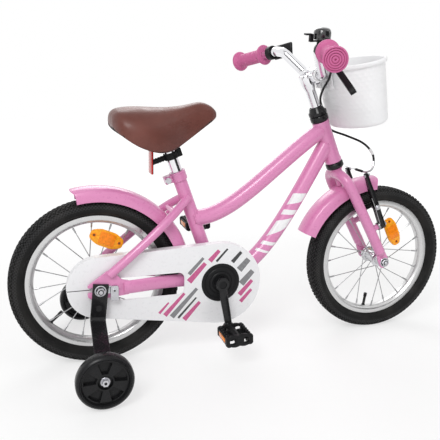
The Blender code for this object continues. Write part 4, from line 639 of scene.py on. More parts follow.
def bezier(start, start_handle, end_handle, end, count):
    points = []
    for step in range(count + 1):
        t = step / count
        s = 1 - t
        points.append(
            s**3 * start + 3 * s * s * t * start_handle + 3 * s * t * t * end_handle + t**3 * end
        )
    return points


def rounded_corner(before, corner, after, reach, count):
    """Points round a corner, from a reach before it to a reach after it."""
    start = corner + reach * (before - corner).normalized()
    end = corner + reach * (after - corner).normalized()
    shares = [step / count for step in range(count + 1)]
    return [(1 - t) ** 2 * start + 2 * t * (1 - t) * corner + t * t * end for t in shares]


def filleted(points, radius, count=6):
    """A path through points with each inner corner rounded."""
    points = [Vector(point) for point in points]
    path = [points[0]]
    for before, corner, after in zip(points, points[1:], points[2:]):
        back, ahead = before - corner, after - corner
        reach = min(radius / math.tan(back.angle(ahead) / 2), back.length / 2.1, ahead.length / 2.1)
        path += rounded_corner(before, corner, after, reach, count)
    path.append(points[-1])
    return path


def filleted_outline(points, radius, count=4):
    """A closed outline with each corner rounded, by no more than its sides allow."""
    points = [Vector((x, y, 0)) for x, y in points]
    rounded = []
    for index, corner in enumerate(points):
        before, after = points[index - 1], points[(index + 1) % len(points)]
        reach = min(radius, (before - corner).length / 2.5, (after - corner).length / 2.5)
        rounded += [
            (point.x, point.y) for point in rounded_corner(before, corner, after, reach, count)
        ]
    return rounded


def smooth_path(points, count):
    """A smooth path through every point, with count steps in each span."""
    points = [Vector(point) for point in points]
    ends = [2 * points[0] - points[1], *points, 2 * points[-1] - points[-2]]
    path = []
    for p0, p1, p2, p3 in zip(ends, ends[1:], ends[2:], ends[3:]):
        for step in range(count):
            t = step / count
            bend, twist = 2 * p0 - 5 * p1 + 4 * p2 - p3, 3 * p1 - p0 - 3 * p2 + p3
            path.append(0.5 * (2 * p1 + t * (p2 - p0) + t * t * bend + t**3 * twist))
    path.append(points[-1])
    return path


def refined(node, look, edge=0.0004):
    """A copy of one of the model's pieces, merged, its edges eased and its curves smooth."""
    shape = bmesh.new()
    shape.from_mesh(frame["nodes"][node].data)
    bmesh.ops.remove_doubles(shape, verts=shape.verts, dist=1e-6)
    bmesh.ops.dissolve_limit(
        shape, angle_limit=math.radians(1), verts=shape.verts, edges=shape.edges
    )
    obj = keep(shape, look, None, 36)
    obj.data.materials.clear()
    obj.data.materials.append(look)
    return bevelled(obj, edge, 1, 38, 36)


BODIES = frame["record"]["behaviour"]["bodies"]
BODY_OF = {member: body for body, members in BODIES.items() for member in members}
SLOT_OF = {row["node"]: row["material_slot"] for row in frame["record"]["subparts"]}


def stand_for(piece, node):
    """A piece, or several as one, that shows in place of one of the model's nodes."""
    obj = goes_with(f"{node}_finish", piece, node)
    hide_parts(node)
    return obj


def goes_with(name, piece, node, slot=None):
    """A piece, or several as one, that moves with one of the model's nodes."""
    obj = joined(piece) if isinstance(piece, list) else piece
    obj.name = obj.data.name = name
    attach(obj, BODY_OF[node])
    slot or SLOT_OF[node]
    return obj


KNURL_PITCH = 0.0062
KNURL_DEPTH = 0.016
TYRE_MIDDLE = 0.150


def knurling(made):
    """One on the fine crossed ridges of a tyre's shoulder, nought between them and near the rim."""
    parts = made.node("ShaderNodeSeparateXYZ", Vector=made.place).outputs
    forward = made.sum("SUBTRACT", made.sum("ABSOLUTE", parts[0]), WHEELBASE / 2)
    up = made.sum("SUBTRACT", parts[2], WHEEL_RADIUS)
    squares = [made.sum("MULTIPLY", part, part) for part in (forward, up)]
    radius = made.sum("SQRT", made.sum("ADD", *squares))
    ridges = 2 * math.pi / KNURL_PITCH
    along = made.sum("MULTIPLY", made.sum("ARCTAN2", up, forward), TYRE_MIDDLE * ridges)
    outward = made.sum("SUBTRACT", radius, TYRE_MIDDLE)
    around = made.sum("ARCTAN2", made.sum("ABSOLUTE", parts[1]), outward)
    over = made.sum("MULTIPLY", around, TYRE_WIDTH / 2 * ridges)
    waves = []
    for way in ("ADD", "SUBTRACT"):
        half = made.sum("MULTIPLY", made.sum(way, along, over), 0.5)
        waves.append(made.sum("ABSOLUTE", made.sum("SINE", half)))
    ridge = made.range(made.sum("MINIMUM", *waves), 0.34, 0.14)
    fade = made.range(radius, WHEEL_RADIUS - KNURL_DEPTH - 0.002, WHEEL_RADIUS - KNURL_DEPTH)
    return made.sum("MULTIPLY", ridge, fade)


def rubber():
    """Black rubber with a dusty bloom in patches, a fine moulded grain, and a painted highlight
    that makes the knurled ridges paler.
    """
    made = Finish("tyre_rubber", 0.62)
    made.set("Specular IOR Level", 0.16)
    bloom = made.range(made.noise(22.0, 4.0), 0.42, 0.72)
    dusty = made.mix(bloom, (0.010, 0.010, 0.010, 1), (0.019, 0.018, 0.017, 1))
    knurl = knurling(made)
    # The knurled ridges are coloured paler: a painted highlight where they would catch the light.
    pale = made.sum("MULTIPLY", knurl, 0.45)
    made.set("Base Color", made.mix(pale, dusty, (0.085, 0.085, 0.088, 1)))
    made.set("Roughness", made.range(made.noise(60.0, 5.0), 0.3, 0.7, 0.50, 0.76))
    made.bump(made.sum("SUBTRACT", made.noise(1600.0, 2.0), knurl), 0.00012)
    return made.material


def reflex(name, colour):
    """Clear coloured plastic over a moulded pattern of small prisms, each cell painted lighter or
    darker as a painted glint, with a faint painted glow.
    """
    made = Finish(name, 0.22, coat=0.25)
    made.set("Specular IOR Level", 0.25)
    cells = made.node("ShaderNodeTexVoronoi", Vector=made.place, Scale=330.0)
    # Each prism cell gets its own shade of the lens colour: a painted glint.
    painted_prism_glint = made.range(cells.outputs["Color"], 0.1, 0.9)
    made.set("Base Color", made.mix(painted_prism_glint, shade(colour, 0.80), shade(colour, 1.12)))
    made.bump(cells.outputs["Distance"], 0.00015)
    # A faint glow in the lens colour, though the reflector is no lamp: painted light.
    made.set("Emission Color", colour)
    made.set("Emission Strength", 0.05)
    return made.material


def brushed(name, colour, roughness, along, fineness):
    """Metal with fine marks that run one way: the small scale is the way that they run."""
    made = Finish(name, roughness, 1.0)
    spread = made.node("ShaderNodeMapping", Vector=made.place, Scale=along)
    marks = made.noise(fineness, 3.0, spread.outputs[0])
    made.set("Base Color", made.mix(marks, shade(colour, 0.90), shade(colour, 1.06)))
    made.set("Roughness", made.range(marks, 0.3, 0.7, roughness * 0.75, roughness * 1.3))
    made.bump(marks, 0.000015)
    return made.material


RUBBER = rubber()
ORANGE = reflex("orange_reflector", (0.88, 0.235, 0.006, 1))
AMBER = reflex("amber_reflector", (0.92, 0.36, 0.012, 1))
RED = reflex("red_reflector", (0.62, 0.016, 0.014, 1))
CLEAR = reflex("clear_reflector", (0.80, 0.81, 0.83, 1))
RIM_METAL = brushed("rim_metal", (0.66, 0.66, 0.66, 1), 0.34, (1.0, 6.0, 1.0), 300.0)
SPOKE_METAL = plain_finish("spoke_steel", (0.42, 0.42, 0.43, 1), 0.32, 1.0, grain=(900.0, 0.00001))
WHEEL_PLASTIC = plain_finish(
    "wheel_plastic", (0.011, 0.011, 0.012, 1), 0.28, grain=(1300.0, 0.00002), mottle=0.15,
    shine=0.22,
)


def copies_round(piece, count, centre):
    """Copies of a piece turned about the Y axis through the origin, then moved to a centre."""
    tree = bpy.data.node_groups.new("copies_round", "GeometryNodeTree")
    tree.interface.new_socket("Geometry", in_out="OUTPUT", socket_type="NodeSocketGeometry")
    turn = 2 * math.pi / count
    given = {}
    for name, kind, value in (
        ("Geometry", "Geometry", None),
        ("Piece", "Object", piece),
        ("Count", "Int", count),
        ("Turn", "Float", turn),
        ("Finish", "Material", piece.data.materials[0]),
    ):
        socket = tree.interface.new_socket(name, in_out="INPUT", socket_type=f"NodeSocket{kind}")
        given[socket.identifier] = value
    kinds = {
        "given": "NodeGroupInput", "points": "GeometryNodePoints",
        "source": "GeometryNodeObjectInfo", "index": "GeometryNodeInputIndex",
        "product": "ShaderNodeMath", "angles": "ShaderNodeCombineXYZ",
        "place": "GeometryNodeInstanceOnPoints", "real": "GeometryNodeRealizeInstances",
        "painted": "GeometryNodeSetMaterial", "result": "NodeGroupOutput",
    }
    nodes = {name: tree.nodes.new(kind) for name, kind in kinds.items()}
    nodes["product"].operation = "MULTIPLY"
    for source, output, target, entry in (
        ("given", "Count", "points", "Count"),
        ("given", "Piece", "source", "Object"),
        ("index", 0, "product", 0),
        ("given", "Turn", "product", 1),
        ("product", 0, "angles", "Y"),
        ("points", 0, "place", "Points"),
        ("source", "Geometry", "place", "Instance"),
        ("angles", 0, "place", "Rotation"),
        ("place", 0, "real", 0),
        ("real", 0, "painted", "Geometry"),
        ("given", "Finish", "painted", "Material"),
        ("painted", 0, "result", 0),
    ):
        tree.links.new(nodes[source].outputs[output], nodes[target].inputs[entry])
    holder = placed(bpy.data.meshes.new("shape"))
    made = holder.modifiers.new("Copies", "NODES")
    made.node_group = tree
    for identifier, value in given.items():
        if value is not None:
            made[identifier] = value
    obj = settled(holder)
    bpy.data.objects.remove(piece, do_unlink=True)
    obj.data.transform(Matrix.Translation(centre))
    return obj


# Wheels

TREAD_DEPTH = 0.0016
TREAD_SINK = 0.0008
TREAD_BLOCKS = 104
TYRE_TOP = WHEEL_RADIUS - TREAD_DEPTH
BEAD_RADIUS = 0.1433
SIDEWALL_RIB = 0.0005
NIPPLE_RADIUS = 0.0021
NIPPLE_LENGTH = 0.011
REAR_HUB_ENDS = (0.0337, 0.0485)
FRONT_HUB_ENDS = (0.038, 0.038)
VALVE_RADIUS = 0.0032
VALVE_LENGTH = 0.030
REAR_VALVE_ANGLE = math.radians(221)
FRONT_VALVE_ANGLE = math.radians(262)


def tyre_section():
    """Half of the tyre's outline, from crown to bead, as (radius, y), with three moulded ribs."""
    width = TYRE_WIDTH
    depth = WHEEL_RADIUS - RIM_RADIUS
    rough = [(TYRE_TOP, 0.0, 0), (TYRE_TOP - 0.0003, 0.16 * width, 0)]
    for share, drop, across in (
        (0.115, TREAD_DEPTH, 0.35), (0.28, 0.0006, 0.445), (0.46, 0, 0.487), (0.64, 0, 0.478),
        (0.79, 0, 0.445),
    ):
        rough.append((WHEEL_RADIUS - share * depth - drop, across * width, 0))
    rough += [(BEAD_RADIUS + 0.0020, 0.335 * width, 0), (BEAD_RADIUS + 0.0004, 0.29 * width, 0)]
    section = []
    for point in smooth_path(rough, 4):
        raised = 0.0
        for rib in (0.40, 0.62, 0.80):
            away = abs(point.x - (WHEEL_RADIUS - rib * depth)) / 0.0011
            raised = max(raised, SIDEWALL_RIB * max(0.0, 1 - away))
        section.append((point.x, min(0.49 * width, point.y + raised)))
    return section


def tread_block(radius, across, lean, size, skew):
    """A tread block on the tyre at the front of the wheel, leaning out with the tyre's round."""
    shape = bmesh.new()
    bmesh.ops.create_cube(shape, size=1)
    bmesh.ops.scale(shape, vec=size, verts=shape.verts)
    for vert in shape.verts:
        vert.co.z += skew * vert.co.y
        if vert.co.x > 0:
            vert.co.y *= 0.86
            vert.co.z *= 0.86
    matrix = Matrix.Translation((radius, across, 0)) @ Matrix.Rotation(lean, 4, "Z")
    return keep(shape, RUBBER, matrix)


def tyre(name, axle):
    half = tyre_section()
    profile = [(r, -y) for r, y in reversed(half)] + half[1:]
    profile += [(0.1340, 0.0094), (0.1340, -0.0094)]
    pieces = [lathe(profile, upright(axle), RUBBER, 144, closed=True, sharp=40)]
    height = TREAD_DEPTH + 2 * TREAD_SINK
    for across, lean, width, length, skew, shift in (
        (0.0, 0.0, 0.0062, 0.0070, 0.0, 0.0),
        (0.0072, 0.10, 0.0052, 0.0072, 0.75, 0.5),
        (0.0142, 0.36, 0.0060, 0.0068, 0.35, 0.0),
        (0.0194, 0.78, 0.0046, 0.0066, 0.0, 0.5),
    ):
        for side in (1, -1) if across else (1,):
            radius = TYRE_TOP - (1 - math.cos(lean)) * 0.0125 - across * 0.035
            size = (height, width, length)
            seed = tread_block(radius, side * across, side * lean, size, side * skew)
            seed.data.transform(Matrix.Rotation(shift * 2 * math.pi / TREAD_BLOCKS, 4, "Y"))
            pieces.append(copies_round(seed, TREAD_BLOCKS, axle))
    stand_for(pieces, name)


def rim(name, axle, valve_angle):
    half = [
        (0.1251, 0.0), (0.1251, 0.0040), (0.1258, 0.0064), (0.1282, 0.0093), (0.1308, 0.0122),
        (0.1322, 0.0129), (0.1345, 0.0130), (0.1405, 0.0130), (0.1424, 0.0127), (0.1429, 0.0115),
        (0.1424, 0.0103), (0.1408, 0.0100), (0.1344, 0.0100), (0.1334, 0.0092), (0.1334, 0.0),
    ]
    profile = half + [(r, -y) for r, y in reversed(half[1:-1])]
    stand_for(lathe(profile, upright(axle), RIM_METAL, 144, closed=True), name)
    out = Vector((math.cos(valve_angle), 0, math.sin(valve_angle)))
    foot = axle + 0.1251 * out
    pieces = [
        bar(foot, out, 0, -VALVE_LENGTH, VALVE_RADIUS, PIN_BLACK, 20),
        bar(foot, out, 0, -0.004, VALVE_RADIUS + 0.0014, PIN_BLACK, 20, VALVE_RADIUS),
        bar(
            foot, out, 0.008 - VALVE_LENGTH, -0.001 - VALVE_LENGTH, VALVE_RADIUS + 0.0008,
            BLACK_PLASTIC, 12,
        ),
    ]
    goes_with(f"{name}_valve", pieces, name, "black_plastic")


def spoke_set(first, centre):
    """Four spokes, two on each side, that repeat five times round the wheel."""
    pieces = []
    for number in range(4):
        side = LEFT if number % 2 else RIGHT
        turn = 1 if number < 2 else -1
        rim_angle = first + 2 * math.pi * number / SPOKE_COUNT
        hub_angle = rim_angle + turn * SPOKE_LEAD
        across = side * (HUB_FLANGE_OFFSET + turn * SPOKE_CROSSING)
        start = Vector(
            (SPOKE_START * math.cos(hub_angle), across, SPOKE_START * math.sin(hub_angle))
        )
        end = Vector((math.cos(rim_angle), 0, math.sin(rim_angle))) * SPOKE_END
        end.y = side * SPOKE_END_OFFSET
        ahead = (end - start).normalized()
        head = Vector((start.x, across - side * turn * 0.003, start.z))
        pieces += [
            tube([head, start, start + 0.002 * ahead, end], SPOKE_RADIUS, SPOKE_METAL, 8),
            rod(
                end - NIPPLE_LENGTH * ahead, end, NIPPLE_RADIUS * 0.8, SPOKE_METAL, 10,
                NIPPLE_RADIUS,
            ),
        ]
    return copies_round(joined(pieces), SPOKE_COUNT // 4, centre)


def hub(name, axle, first, ends):
    low, high = HUB_FLANGE_OFFSET - 0.0015, HUB_FLANGE_OFFSET + 0.0015
    barrel, flange = HUB_BARREL_RADIUS, HUB_FLANGE_RADIUS
    halves = []
    for end in ends:
        halves.append(
            [
                (barrel, 0.0), (barrel, low - 0.005), (barrel + 0.0010, low - 0.0022),
                (barrel + 0.0034, low - 0.0004), (flange - 0.0006, low), (flange, low + 0.0006),
                (flange, high - 0.0006), (flange - 0.0006, high), (barrel + 0.0020, high + 0.0004),
                (barrel + 0.0004, high + 0.0012), (barrel, high + 0.0030), (barrel, end - 0.0030),
                (barrel - 0.0008, end - 0.0026), (barrel - 0.0010, end - 0.0010),
                (barrel - 0.0018, end), (AXLE_RADIUS + 2 * GAP, end),
            ]
        )
    profile = [(r, -y) for r, y in reversed(halves[0])] + halves[1][1:]
    stand_for(
        [lathe(profile, upright(axle), SILVER, 64, closed=True), spoke_set(first, axle)], name
    )


def spoke_at(radius):
    """How far along a spoke is at a radius, and its turn from the angle where it meets the rim."""
    across = SPOKE_START * SPOKE_END * math.cos(SPOKE_LEAD)
    a = SPOKE_START**2 + SPOKE_END**2 - 2 * across
    b = across - SPOKE_START**2
    along = (math.sqrt(b * b - a * (SPOKE_START**2 - radius**2)) - b) / a
    return along, math.asin((1 - along) * SPOKE_START * math.sin(SPOKE_LEAD) / radius)


def spoke_offset(radius):
    along = spoke_at(radius)[0]
    return (HUB_FLANGE_OFFSET + SPOKE_CROSSING) * (1 - along) + SPOKE_END_OFFSET * along


BOSS = plain_finish("reflector_boss", (0.16, 0.050, 0.006, 1), 0.40, grain=(900.0, 0.00001))


def lobed_outline(inset):
    """A long oval whose ends narrow to round lobes, drawn in by inset."""
    length, height = REFLECTOR_LENGTH / 2 - inset, REFLECTOR_HEIGHT / 2 - inset
    quarter = [
        (length, 0.30 * height), (0.93 * length, 0.56 * height), (0.70 * length, 0.80 * height),
        (0.42 * length, height),
    ]
    upper = quarter + [(-x, y) for x, y in reversed(quarter)]
    return filleted_outline(upper + [(x, -y) for x, y in reversed(upper)], 0.0075)


def wheel_reflector(name, axle, radius, angle, tilt):
    """A clear orange lens that clips between two spokes."""
    step = REFLECTOR_LENGTH / 2
    lean = math.atan2(spoke_offset(radius - step) - spoke_offset(radius + step), REFLECTOR_LENGTH)
    plane = side_plane(axle)
    for turn in (
        Matrix.Rotation(angle - math.pi / 2, 4, "Z"),
        Matrix.Translation((0, radius, spoke_offset(radius) + SPOKE_RADIUS + GAP)),
        Matrix.Rotation(-lean, 4, "X"),
        Matrix.Rotation(tilt, 4, "Z"),
    ):
        plane = plane @ turn
    face = REFLECTOR_THICKNESS
    field = rounded_box((-0.44 * step, -0.0128), (0.50 * step, 0.0128), 0.003, 4)
    pieces = []
    for loop, low, high, look, edge in (
        (lobed_outline(0.0), 0, 0.0042, AMBER, 0.0008),
        (lobed_outline(0.0020), 0.0040, face - 0.0006, AMBER, 0.0010),
        (field, face - 0.0010, face, ORANGE, 0.0004),
    ):
        pieces.append(plate([loop], low, high, plane, look, edge))
    for x in (-0.77 * step, 0.77 * step):
        centre = plane @ Matrix.Translation((x, 0, 0))
        foot, end = centre @ Vector((0, 0, face - 0.0010)), centre @ Vector((0, 0, face - 0.0005))
        pieces += [
            ring(0.0026, 0.0046, face - 0.0010, face - 0.0004, centre, ORANGE, 28, 0.0002),
            rod(foot, end, 0.0027, BOSS, 24, edge=0.0001),
        ]
    stand_for(pieces, name)


for wheel, axle, valve_angle, ends, mark in (
    ("rear", REAR_AXLE, REAR_VALVE_ANGLE, REAR_HUB_ENDS, REAR_REFLECTOR),
    ("front", FRONT_AXLE, FRONT_VALVE_ANGLE, FRONT_HUB_ENDS, FRONT_REFLECTOR),
):
    tyre(f"{wheel}_tyre", axle)
    rim(f"{wheel}_rim", axle, valve_angle)
    first = mark[1] - spoke_at(mark[0])[1]
    hub(f"{wheel}_hub", axle, first, ends)
    wheel_reflector(f"{wheel}_wheel_reflector", axle, *mark)


# Frame

WELD_RADIUS = 0.0013
TUBE_SIDES = 48


def weld(origin, ahead, radius, point, along, other):
    """The bead where a tube ahead from origin meets a round one whose axis runs through point."""
    ahead = ahead.normalized()
    along = along.normalized()
    side = ahead.cross(along).normalized()
    over = side.cross(ahead)
    run = ahead - ahead.dot(along) * along
    path = []
    for across, above in round_section(1, 48):
        start = origin + radius * (across * side + above * over)
        gap = (start - point) - (start - point).dot(along) * along
        a, b, c = run.dot(run), gap.dot(run), gap.dot(gap) - other * other
        path.append(start + ahead * ((-b - math.sqrt(max(0.0, b * b - a * c))) / a))
    return sweep(path, round_section(WELD_RADIUS, 8), PINK, side, 60, closed=True)


def top_tube_path():
    low, high = seat(TOP_TUBE_LOW), steer(TOP_TUBE_HIGH, 0)
    span = high - low
    near = Vector((0.296 * span.x, 0, -0.009 * span.z))
    far = Vector((0.447 * span.x, 0, 0.496 * span.z))
    return bezier(low, low + near, high - far, high, 44)


def down_tube_path():
    high = steer(DOWN_TUBE_HIGH, 0)
    span = BRACKET - high
    near = Vector((0.461 * span.x, 0, 0.765 * span.z))
    far = Vector((0.341 * span.x, 0, -0.025 * span.z))
    return bezier(high, high + near, BRACKET - far, BRACKET, 44)


def wrapped_band(path, radius, span, around, slant, taper):
    """Film on a tube: along it by steps of its path, and round it by degrees."""
    shape = bmesh.new()
    grid = []
    for row in range(13):
        share = row / 12
        angle = math.radians(around[0] + (around[1] - around[0]) * share)
        line = []
        for column in range(9):
            width = (span[1] - span[0]) * (column / 8) * (1 - taper * share)
            along = span[0] + width + slant * share
            index = min(len(path) - 2, max(0, int(along)))
            ahead = (path[index + 1] - path[index]).normalized()
            over = ahead.cross(-ACROSS).normalized()
            if over.z < 0:
                over = -over
            away = over * math.cos(angle) - ACROSS * math.sin(angle)
            point = path[index].lerp(path[index + 1], along - index)
            line.append(shape.verts.new(point + away * radius))
        grid.append(line)
    skin(shape, grid, False, False, True)
    return thickened(keep(shape, FILM_WHITE, None, 60), FILM, 1)


FILM = 0.00018
def film(name, colour, mottle, gloss=0.25):
    """A smooth coloured film under a clear coat."""
    return plain_finish(
        f"{name}_film", colour, gloss, coat=0.4, grain=(500.0, 0.00001), mottle=mottle
    )


FILM_WHITE = film("white", (0.86, 0.86, 0.87, 1), 0.015, 0.22)
FILM_PINK = film("pink", (0.54, 0.085, 0.245, 1), 0.04)
FILM_GREY = film("grey", (0.20, 0.20, 0.21, 1), 0.06)
FILM_BLACK = film("black", (0.03, 0.03, 0.033, 1), 0.1)


def head_tube_piece():
    base, length = HEAD_TUBE_BASE, HEAD_TUBE_LENGTH
    foot = steer(base, 0)
    steps = (
        (-0.003, 0.0), (0.0006, 0.0), (0.0012, 0.0008), (0.0012, 0.0062), (0.0002, 0.0082),
        (0, 0.0100), (0, length - 0.0100), (0.0002, length - 0.0082), (0.0012, length - 0.0062),
        (0.0012, length - 0.0008), (0.0006, length), (-0.003, length),
    )
    profile = [(HEAD_TUBE_RADIUS + out, height) for out, height in steps]
    matrix = frame_matrix(foot, STEER_UP, STEER_FORWARD)
    pieces = [lathe(profile, matrix, PINK, 64, closed=True, sharp=40)]
    radii = MAIN_TUBE_RADIUS, HEAD_TUBE_RADIUS + 0.0004
    for path in (top_tube_path()[::-1], down_tube_path()):
        pieces.append(weld(path[4], path[0] - path[4], radii[0], foot, STEER_UP, radii[1]))
    stand_for(pieces, "head_tube")


def main_tubes():
    top, down = top_tube_path(), down_tube_path()
    radius = MAIN_TUBE_RADIUS
    bead = weld(top[4], top[0] - top[4], radius, BRACKET, SEAT_UP, SEAT_TUBE_RADIUS + 0.0004)
    stand_for([tube(top, radius, PINK, TUBE_SIDES), bead], "top_tube")
    bead = weld(
        down[-4], down[-1] - down[-4], radius, BRACKET, ACROSS, BRACKET_SHELL_RADIUS + 0.0004
    )
    stand_for([tube(down, radius, PINK, TUBE_SIDES), bead], "down_tube")
    bands = (
        (9.2, 11.6, -1.2, 0.35), (12.6, 13.8, -1.2, 0.2), (15.4, 19.8, -2.4, 0.45),
        (21.2, 22.4, -1.6, 0.2), (24.0, 25.0, -1.6, 0.3),
    )
    for number, (start, end, slant, taper) in enumerate(bands):
        band = wrapped_band(down, radius + 0.00005, (start, end), (28, 128), slant, taper)
        goes_with(f"down_tube_band_{number}", band, "down_tube", "white_plastic")


def seat_tube_piece():
    radius = SEAT_TUBE_RADIUS
    matrix = upright(BRACKET)
    half = BRACKET_SHELL_WIDTH / 2
    pieces = [
        ring(
            BRACKET_SHELL_RADIUS - 0.004, BRACKET_SHELL_RADIUS, -half, half, matrix, PINK, 64,
            0.0012,
        ),
        rod(seat(0.012), seat(SEAT_TUBE_LENGTH), radius, PINK, TUBE_SIDES),
        weld(seat(0.06), -SEAT_UP, radius, BRACKET, ACROSS, BRACKET_SHELL_RADIUS + 0.0004),
    ]
    for low, high in ((-half * 1.04, -half), (half, half * 1.04)):
        pieces.append(ring(0.009, 0.0165, low, high, matrix, BLACK_PAINT, 40, 0.0003))
    stand_for(pieces, "seat_tube")


def stays(label, side):
    """The seat stay and the oval chain stay with their flat dropout."""
    seat_stay = bezier(
        rear(0.019, side * 0.0595, 0.029), rear(0.085, side * 0.0595, 0.083),
        rear(0.150, side * 0.058, 0.140), seat(SEAT_STAY_HIGH, 0, side * 0.010), 36,
    )
    chain_stay = bezier(
        rear(0.048, side * 0.057, 0), rear(0.098, side * 0.057, 0),
        rear(0.130, side * 0.027, -0.002), BRACKET + side * 0.025 * ACROSS, 36,
    )
    high, wide = CHAIN_STAY_HEIGHT / 2, CHAIN_STAY_WIDTH / 2
    section = [(high * x, wide * y) for x, y in round_section(1, 40)]
    outline = filleted_outline(
        [
            (-0.024, 0.0093), (0.017, 0.039), (0.030, 0.033), (0.044, 0.017), (0.060, 0.014),
            (0.060, -0.014), (0.020, -0.018), (-0.018, -0.018), (-0.024, -0.014), (-0.024, -0.0053),
            (0.004, -0.0053), (0.006, 0.0), (0.004, 0.0053), (-0.024, 0.0053),
        ],
        0.0045,
    )
    low, high = sorted((-side * REAR_DROPOUT_INNER, -side * REAR_DROPOUT_OUTER))
    pieces = [
        tube(seat_stay, STAY_RADIUS, PINK, 32),
        sweep(chain_stay, section, PINK, UPWARD),
        side_plate([outline], low, high, PINK, 0.0010),
    ]
    stand_for(pieces, f"{label}_stays")


head_tube_piece()
main_tubes()
seat_tube_piece()
for label, side in SIDES.items():
    stays(label, side)


# Mudguards

MUDGUARD_ROUND = 0.0009


def mudguard(centre, start, end, trim):
    """A crowned steel arch with a rolled edge, cut to the outline of its tongue."""
    crown = MUDGUARD_RADIUS - MUDGUARD_THICKNESS / 2
    half = MUDGUARD_HALF_WIDTH - MUDGUARD_THICKNESS / 2
    side = []
    for drop, share in ((1, 1), (0.78, 0.985), (0.55, 0.96)):
        side.append((crown - MUDGUARD_DEPTH * drop, half * share))
    for share in (0.93, 0.86, 0.72, 0.58, 0.45, 0.30, 0.15):
        bow = 1 - math.sqrt(1 - share * share)
        side.append((crown - 0.42 * MUDGUARD_DEPTH * bow, 0.93 * half * share))
    profile = side + [(crown, 0)] + [(radius, -width) for radius, width in side[::-1]]
    matrix = side_plane(centre) @ Matrix.Rotation(math.radians(start), 4, "Z")
    arch = lathe(profile, matrix, PINK, round((end - start) * 1.1), turn=end - start, sharp=60)
    shell = thickened(arch, MUDGUARD_THICKNESS * 0.8, 0)
    cutter = plate([trim], 0, 2 * MUDGUARD_RADIUS + WHEEL_RADIUS, Matrix(), PINK, 0)
    return bevelled(carved(shell, [cutter], "INTERSECT", 60), MUDGUARD_ROUND * 0.8, 2, 50, 50)


def mudguard_bolt(label, centre, degrees):
    away = -Vector((math.cos(math.radians(degrees)), 0, math.sin(math.radians(degrees))))
    base = centre - (MUDGUARD_RADIUS - 0.0022) * away
    pieces = [
        bar(base, away, 0.0006, 0.0016, 0.0058, ZINC, 28), nut(base, away, 0.0016, 0.0048, 0.0040)
    ]
    goes_with(f"{label}_mudguard_bolt", pieces, f"{label}_mudguard", "zinc_steel")


MUDGUARD_REACH = MUDGUARD_HALF_WIDTH + 0.003
FRONT_CENTRE = FRONT_AXLE - FRONT_MUDGUARD_BACK * FORWARD
for label, centre, angles, tip_angle, away, corner, steps, bolt in (
    (
        "rear", REAR_AXLE, (REAR_MUDGUARD[0], REAR_MUDGUARD[1] + 2), REAR_MUDGUARD[1], WHEELBASE,
        0.0275, 12, 55,
    ),
    (
        "front", FRONT_CENTRE, (FRONT_MUDGUARD[0] - 2, FRONT_MUDGUARD[1]), FRONT_MUDGUARD[0],
        -WHEELBASE, 0.014, 10, 98,
    ),
):
    tip = centre.x + MUDGUARD_RADIUS * math.cos(math.radians(tip_angle))
    low, high = sorted((tip, tip + away))
    trim = rounded_box((low, -MUDGUARD_REACH), (high, MUDGUARD_REACH), corner, steps)
    stand_for(mudguard(centre, *angles, trim), f"{label}_mudguard")
    mudguard_bolt(label, centre, bolt)


# Drive

GUARD_CORNER = 0.0045
GUARD_SLOT = ((0.030, -0.030), (0.177, 0.019), 0.014)
GROOVE = 0.0014
GUARD_WHITE = plain_finish(
    "guard_white", (0.83, 0.83, 0.845, 1), 0.30, grain=(1700.0, 0.000012), mottle=0.012
)


def guard_tray():
    """The chain guard's tray, open towards the wheel, with a soft outer edge."""
    centre = (BRACKET_FORWARD + 0.002, -BRACKET_DROP - 0.003)
    radii = GUARD_REAR_RADIUS, GUARD_FRONT_RADIUS
    outer = belt((0, 0), radii[0], centre, radii[1], 40)
    inner = belt((0, 0), radii[0] - GUARD_WALL, centre, radii[1] - GUARD_WALL, 40)
    square = [(-1, -1), (1, -1), (1, 1), (-1, 1)]
    tray = side_plate(
        [outer], GUARD_INNER - GUARD_CORNER, GUARD_OUTER, GUARD_WHITE, GUARD_CORNER, 5
    )
    out, back = -GUARD_OUTER - 0.01, -GUARD_INNER + 0.001
    cutters = [
        side_plate([inner], GUARD_INNER - 0.02, GUARD_OUTER - GUARD_WALL, GUARD_WHITE, 0.003, 3),
        side_plate([square], 0.0, GUARD_INNER, GUARD_WHITE, 0),
        bar(BRACKET, ACROSS, out, back, GUARD_DISC_RADIUS + 0.001, GUARD_WHITE, 72),
        side_plate(
            [rounded_box(*GUARD_SLOT, 10)], GUARD_INNER - 0.001, GUARD_OUTER + 0.01, GUARD_WHITE, 0
        ),
        bar(REAR_AXLE, ACROSS, out, back, 0.013, GUARD_WHITE, 40),
    ]
    return carved(tray, cutters, sharp=32)


def cap_space(grown):
    """The block that holds the guard's lower rear quarter."""
    size = (0.20, 0.10, 0.20)
    x = REAR_AXLE.x - 0.006 - size[0] / 2 + grown
    z = REAR_AXLE.z - 0.002 - size[2] / 2 + grown
    return block(size, (x, -GUARD_OUTER, z), GUARD_WHITE, None, 0.0001, 1)


def edge_band(outline, height, radius):
    """A raised moulded edge round an opening of the guard."""
    path = [REAR_PLANE @ Vector((x, y, height)) for x, y in outline]
    return sweep(path, round_section(radius, 10), GUARD_WHITE, ACROSS, 60, closed=True)


def chain_guard_pieces():
    rim = GUARD_OUTER - 0.0006
    hole = circle((BRACKET_FORWARD, -BRACKET_DROP), GUARD_DISC_RADIUS + 0.0022, 80)
    guard = [
        carved(guard_tray(), [cap_space(GROOVE / 2)], sharp=32),
        edge_band(rounded_box(*GUARD_SLOT, 10), rim, 0.0011),
        edge_band(hole, rim + 0.0003, 0.0016),
    ]
    stand_for(guard, "chain_guard")
    cap = carved(guard_tray(), [cap_space(-GROOVE / 2)], "INTERSECT", 32)
    stand_for(cap, "chain_guard_cap")


STRIPE_SLOPE = math.radians(47)


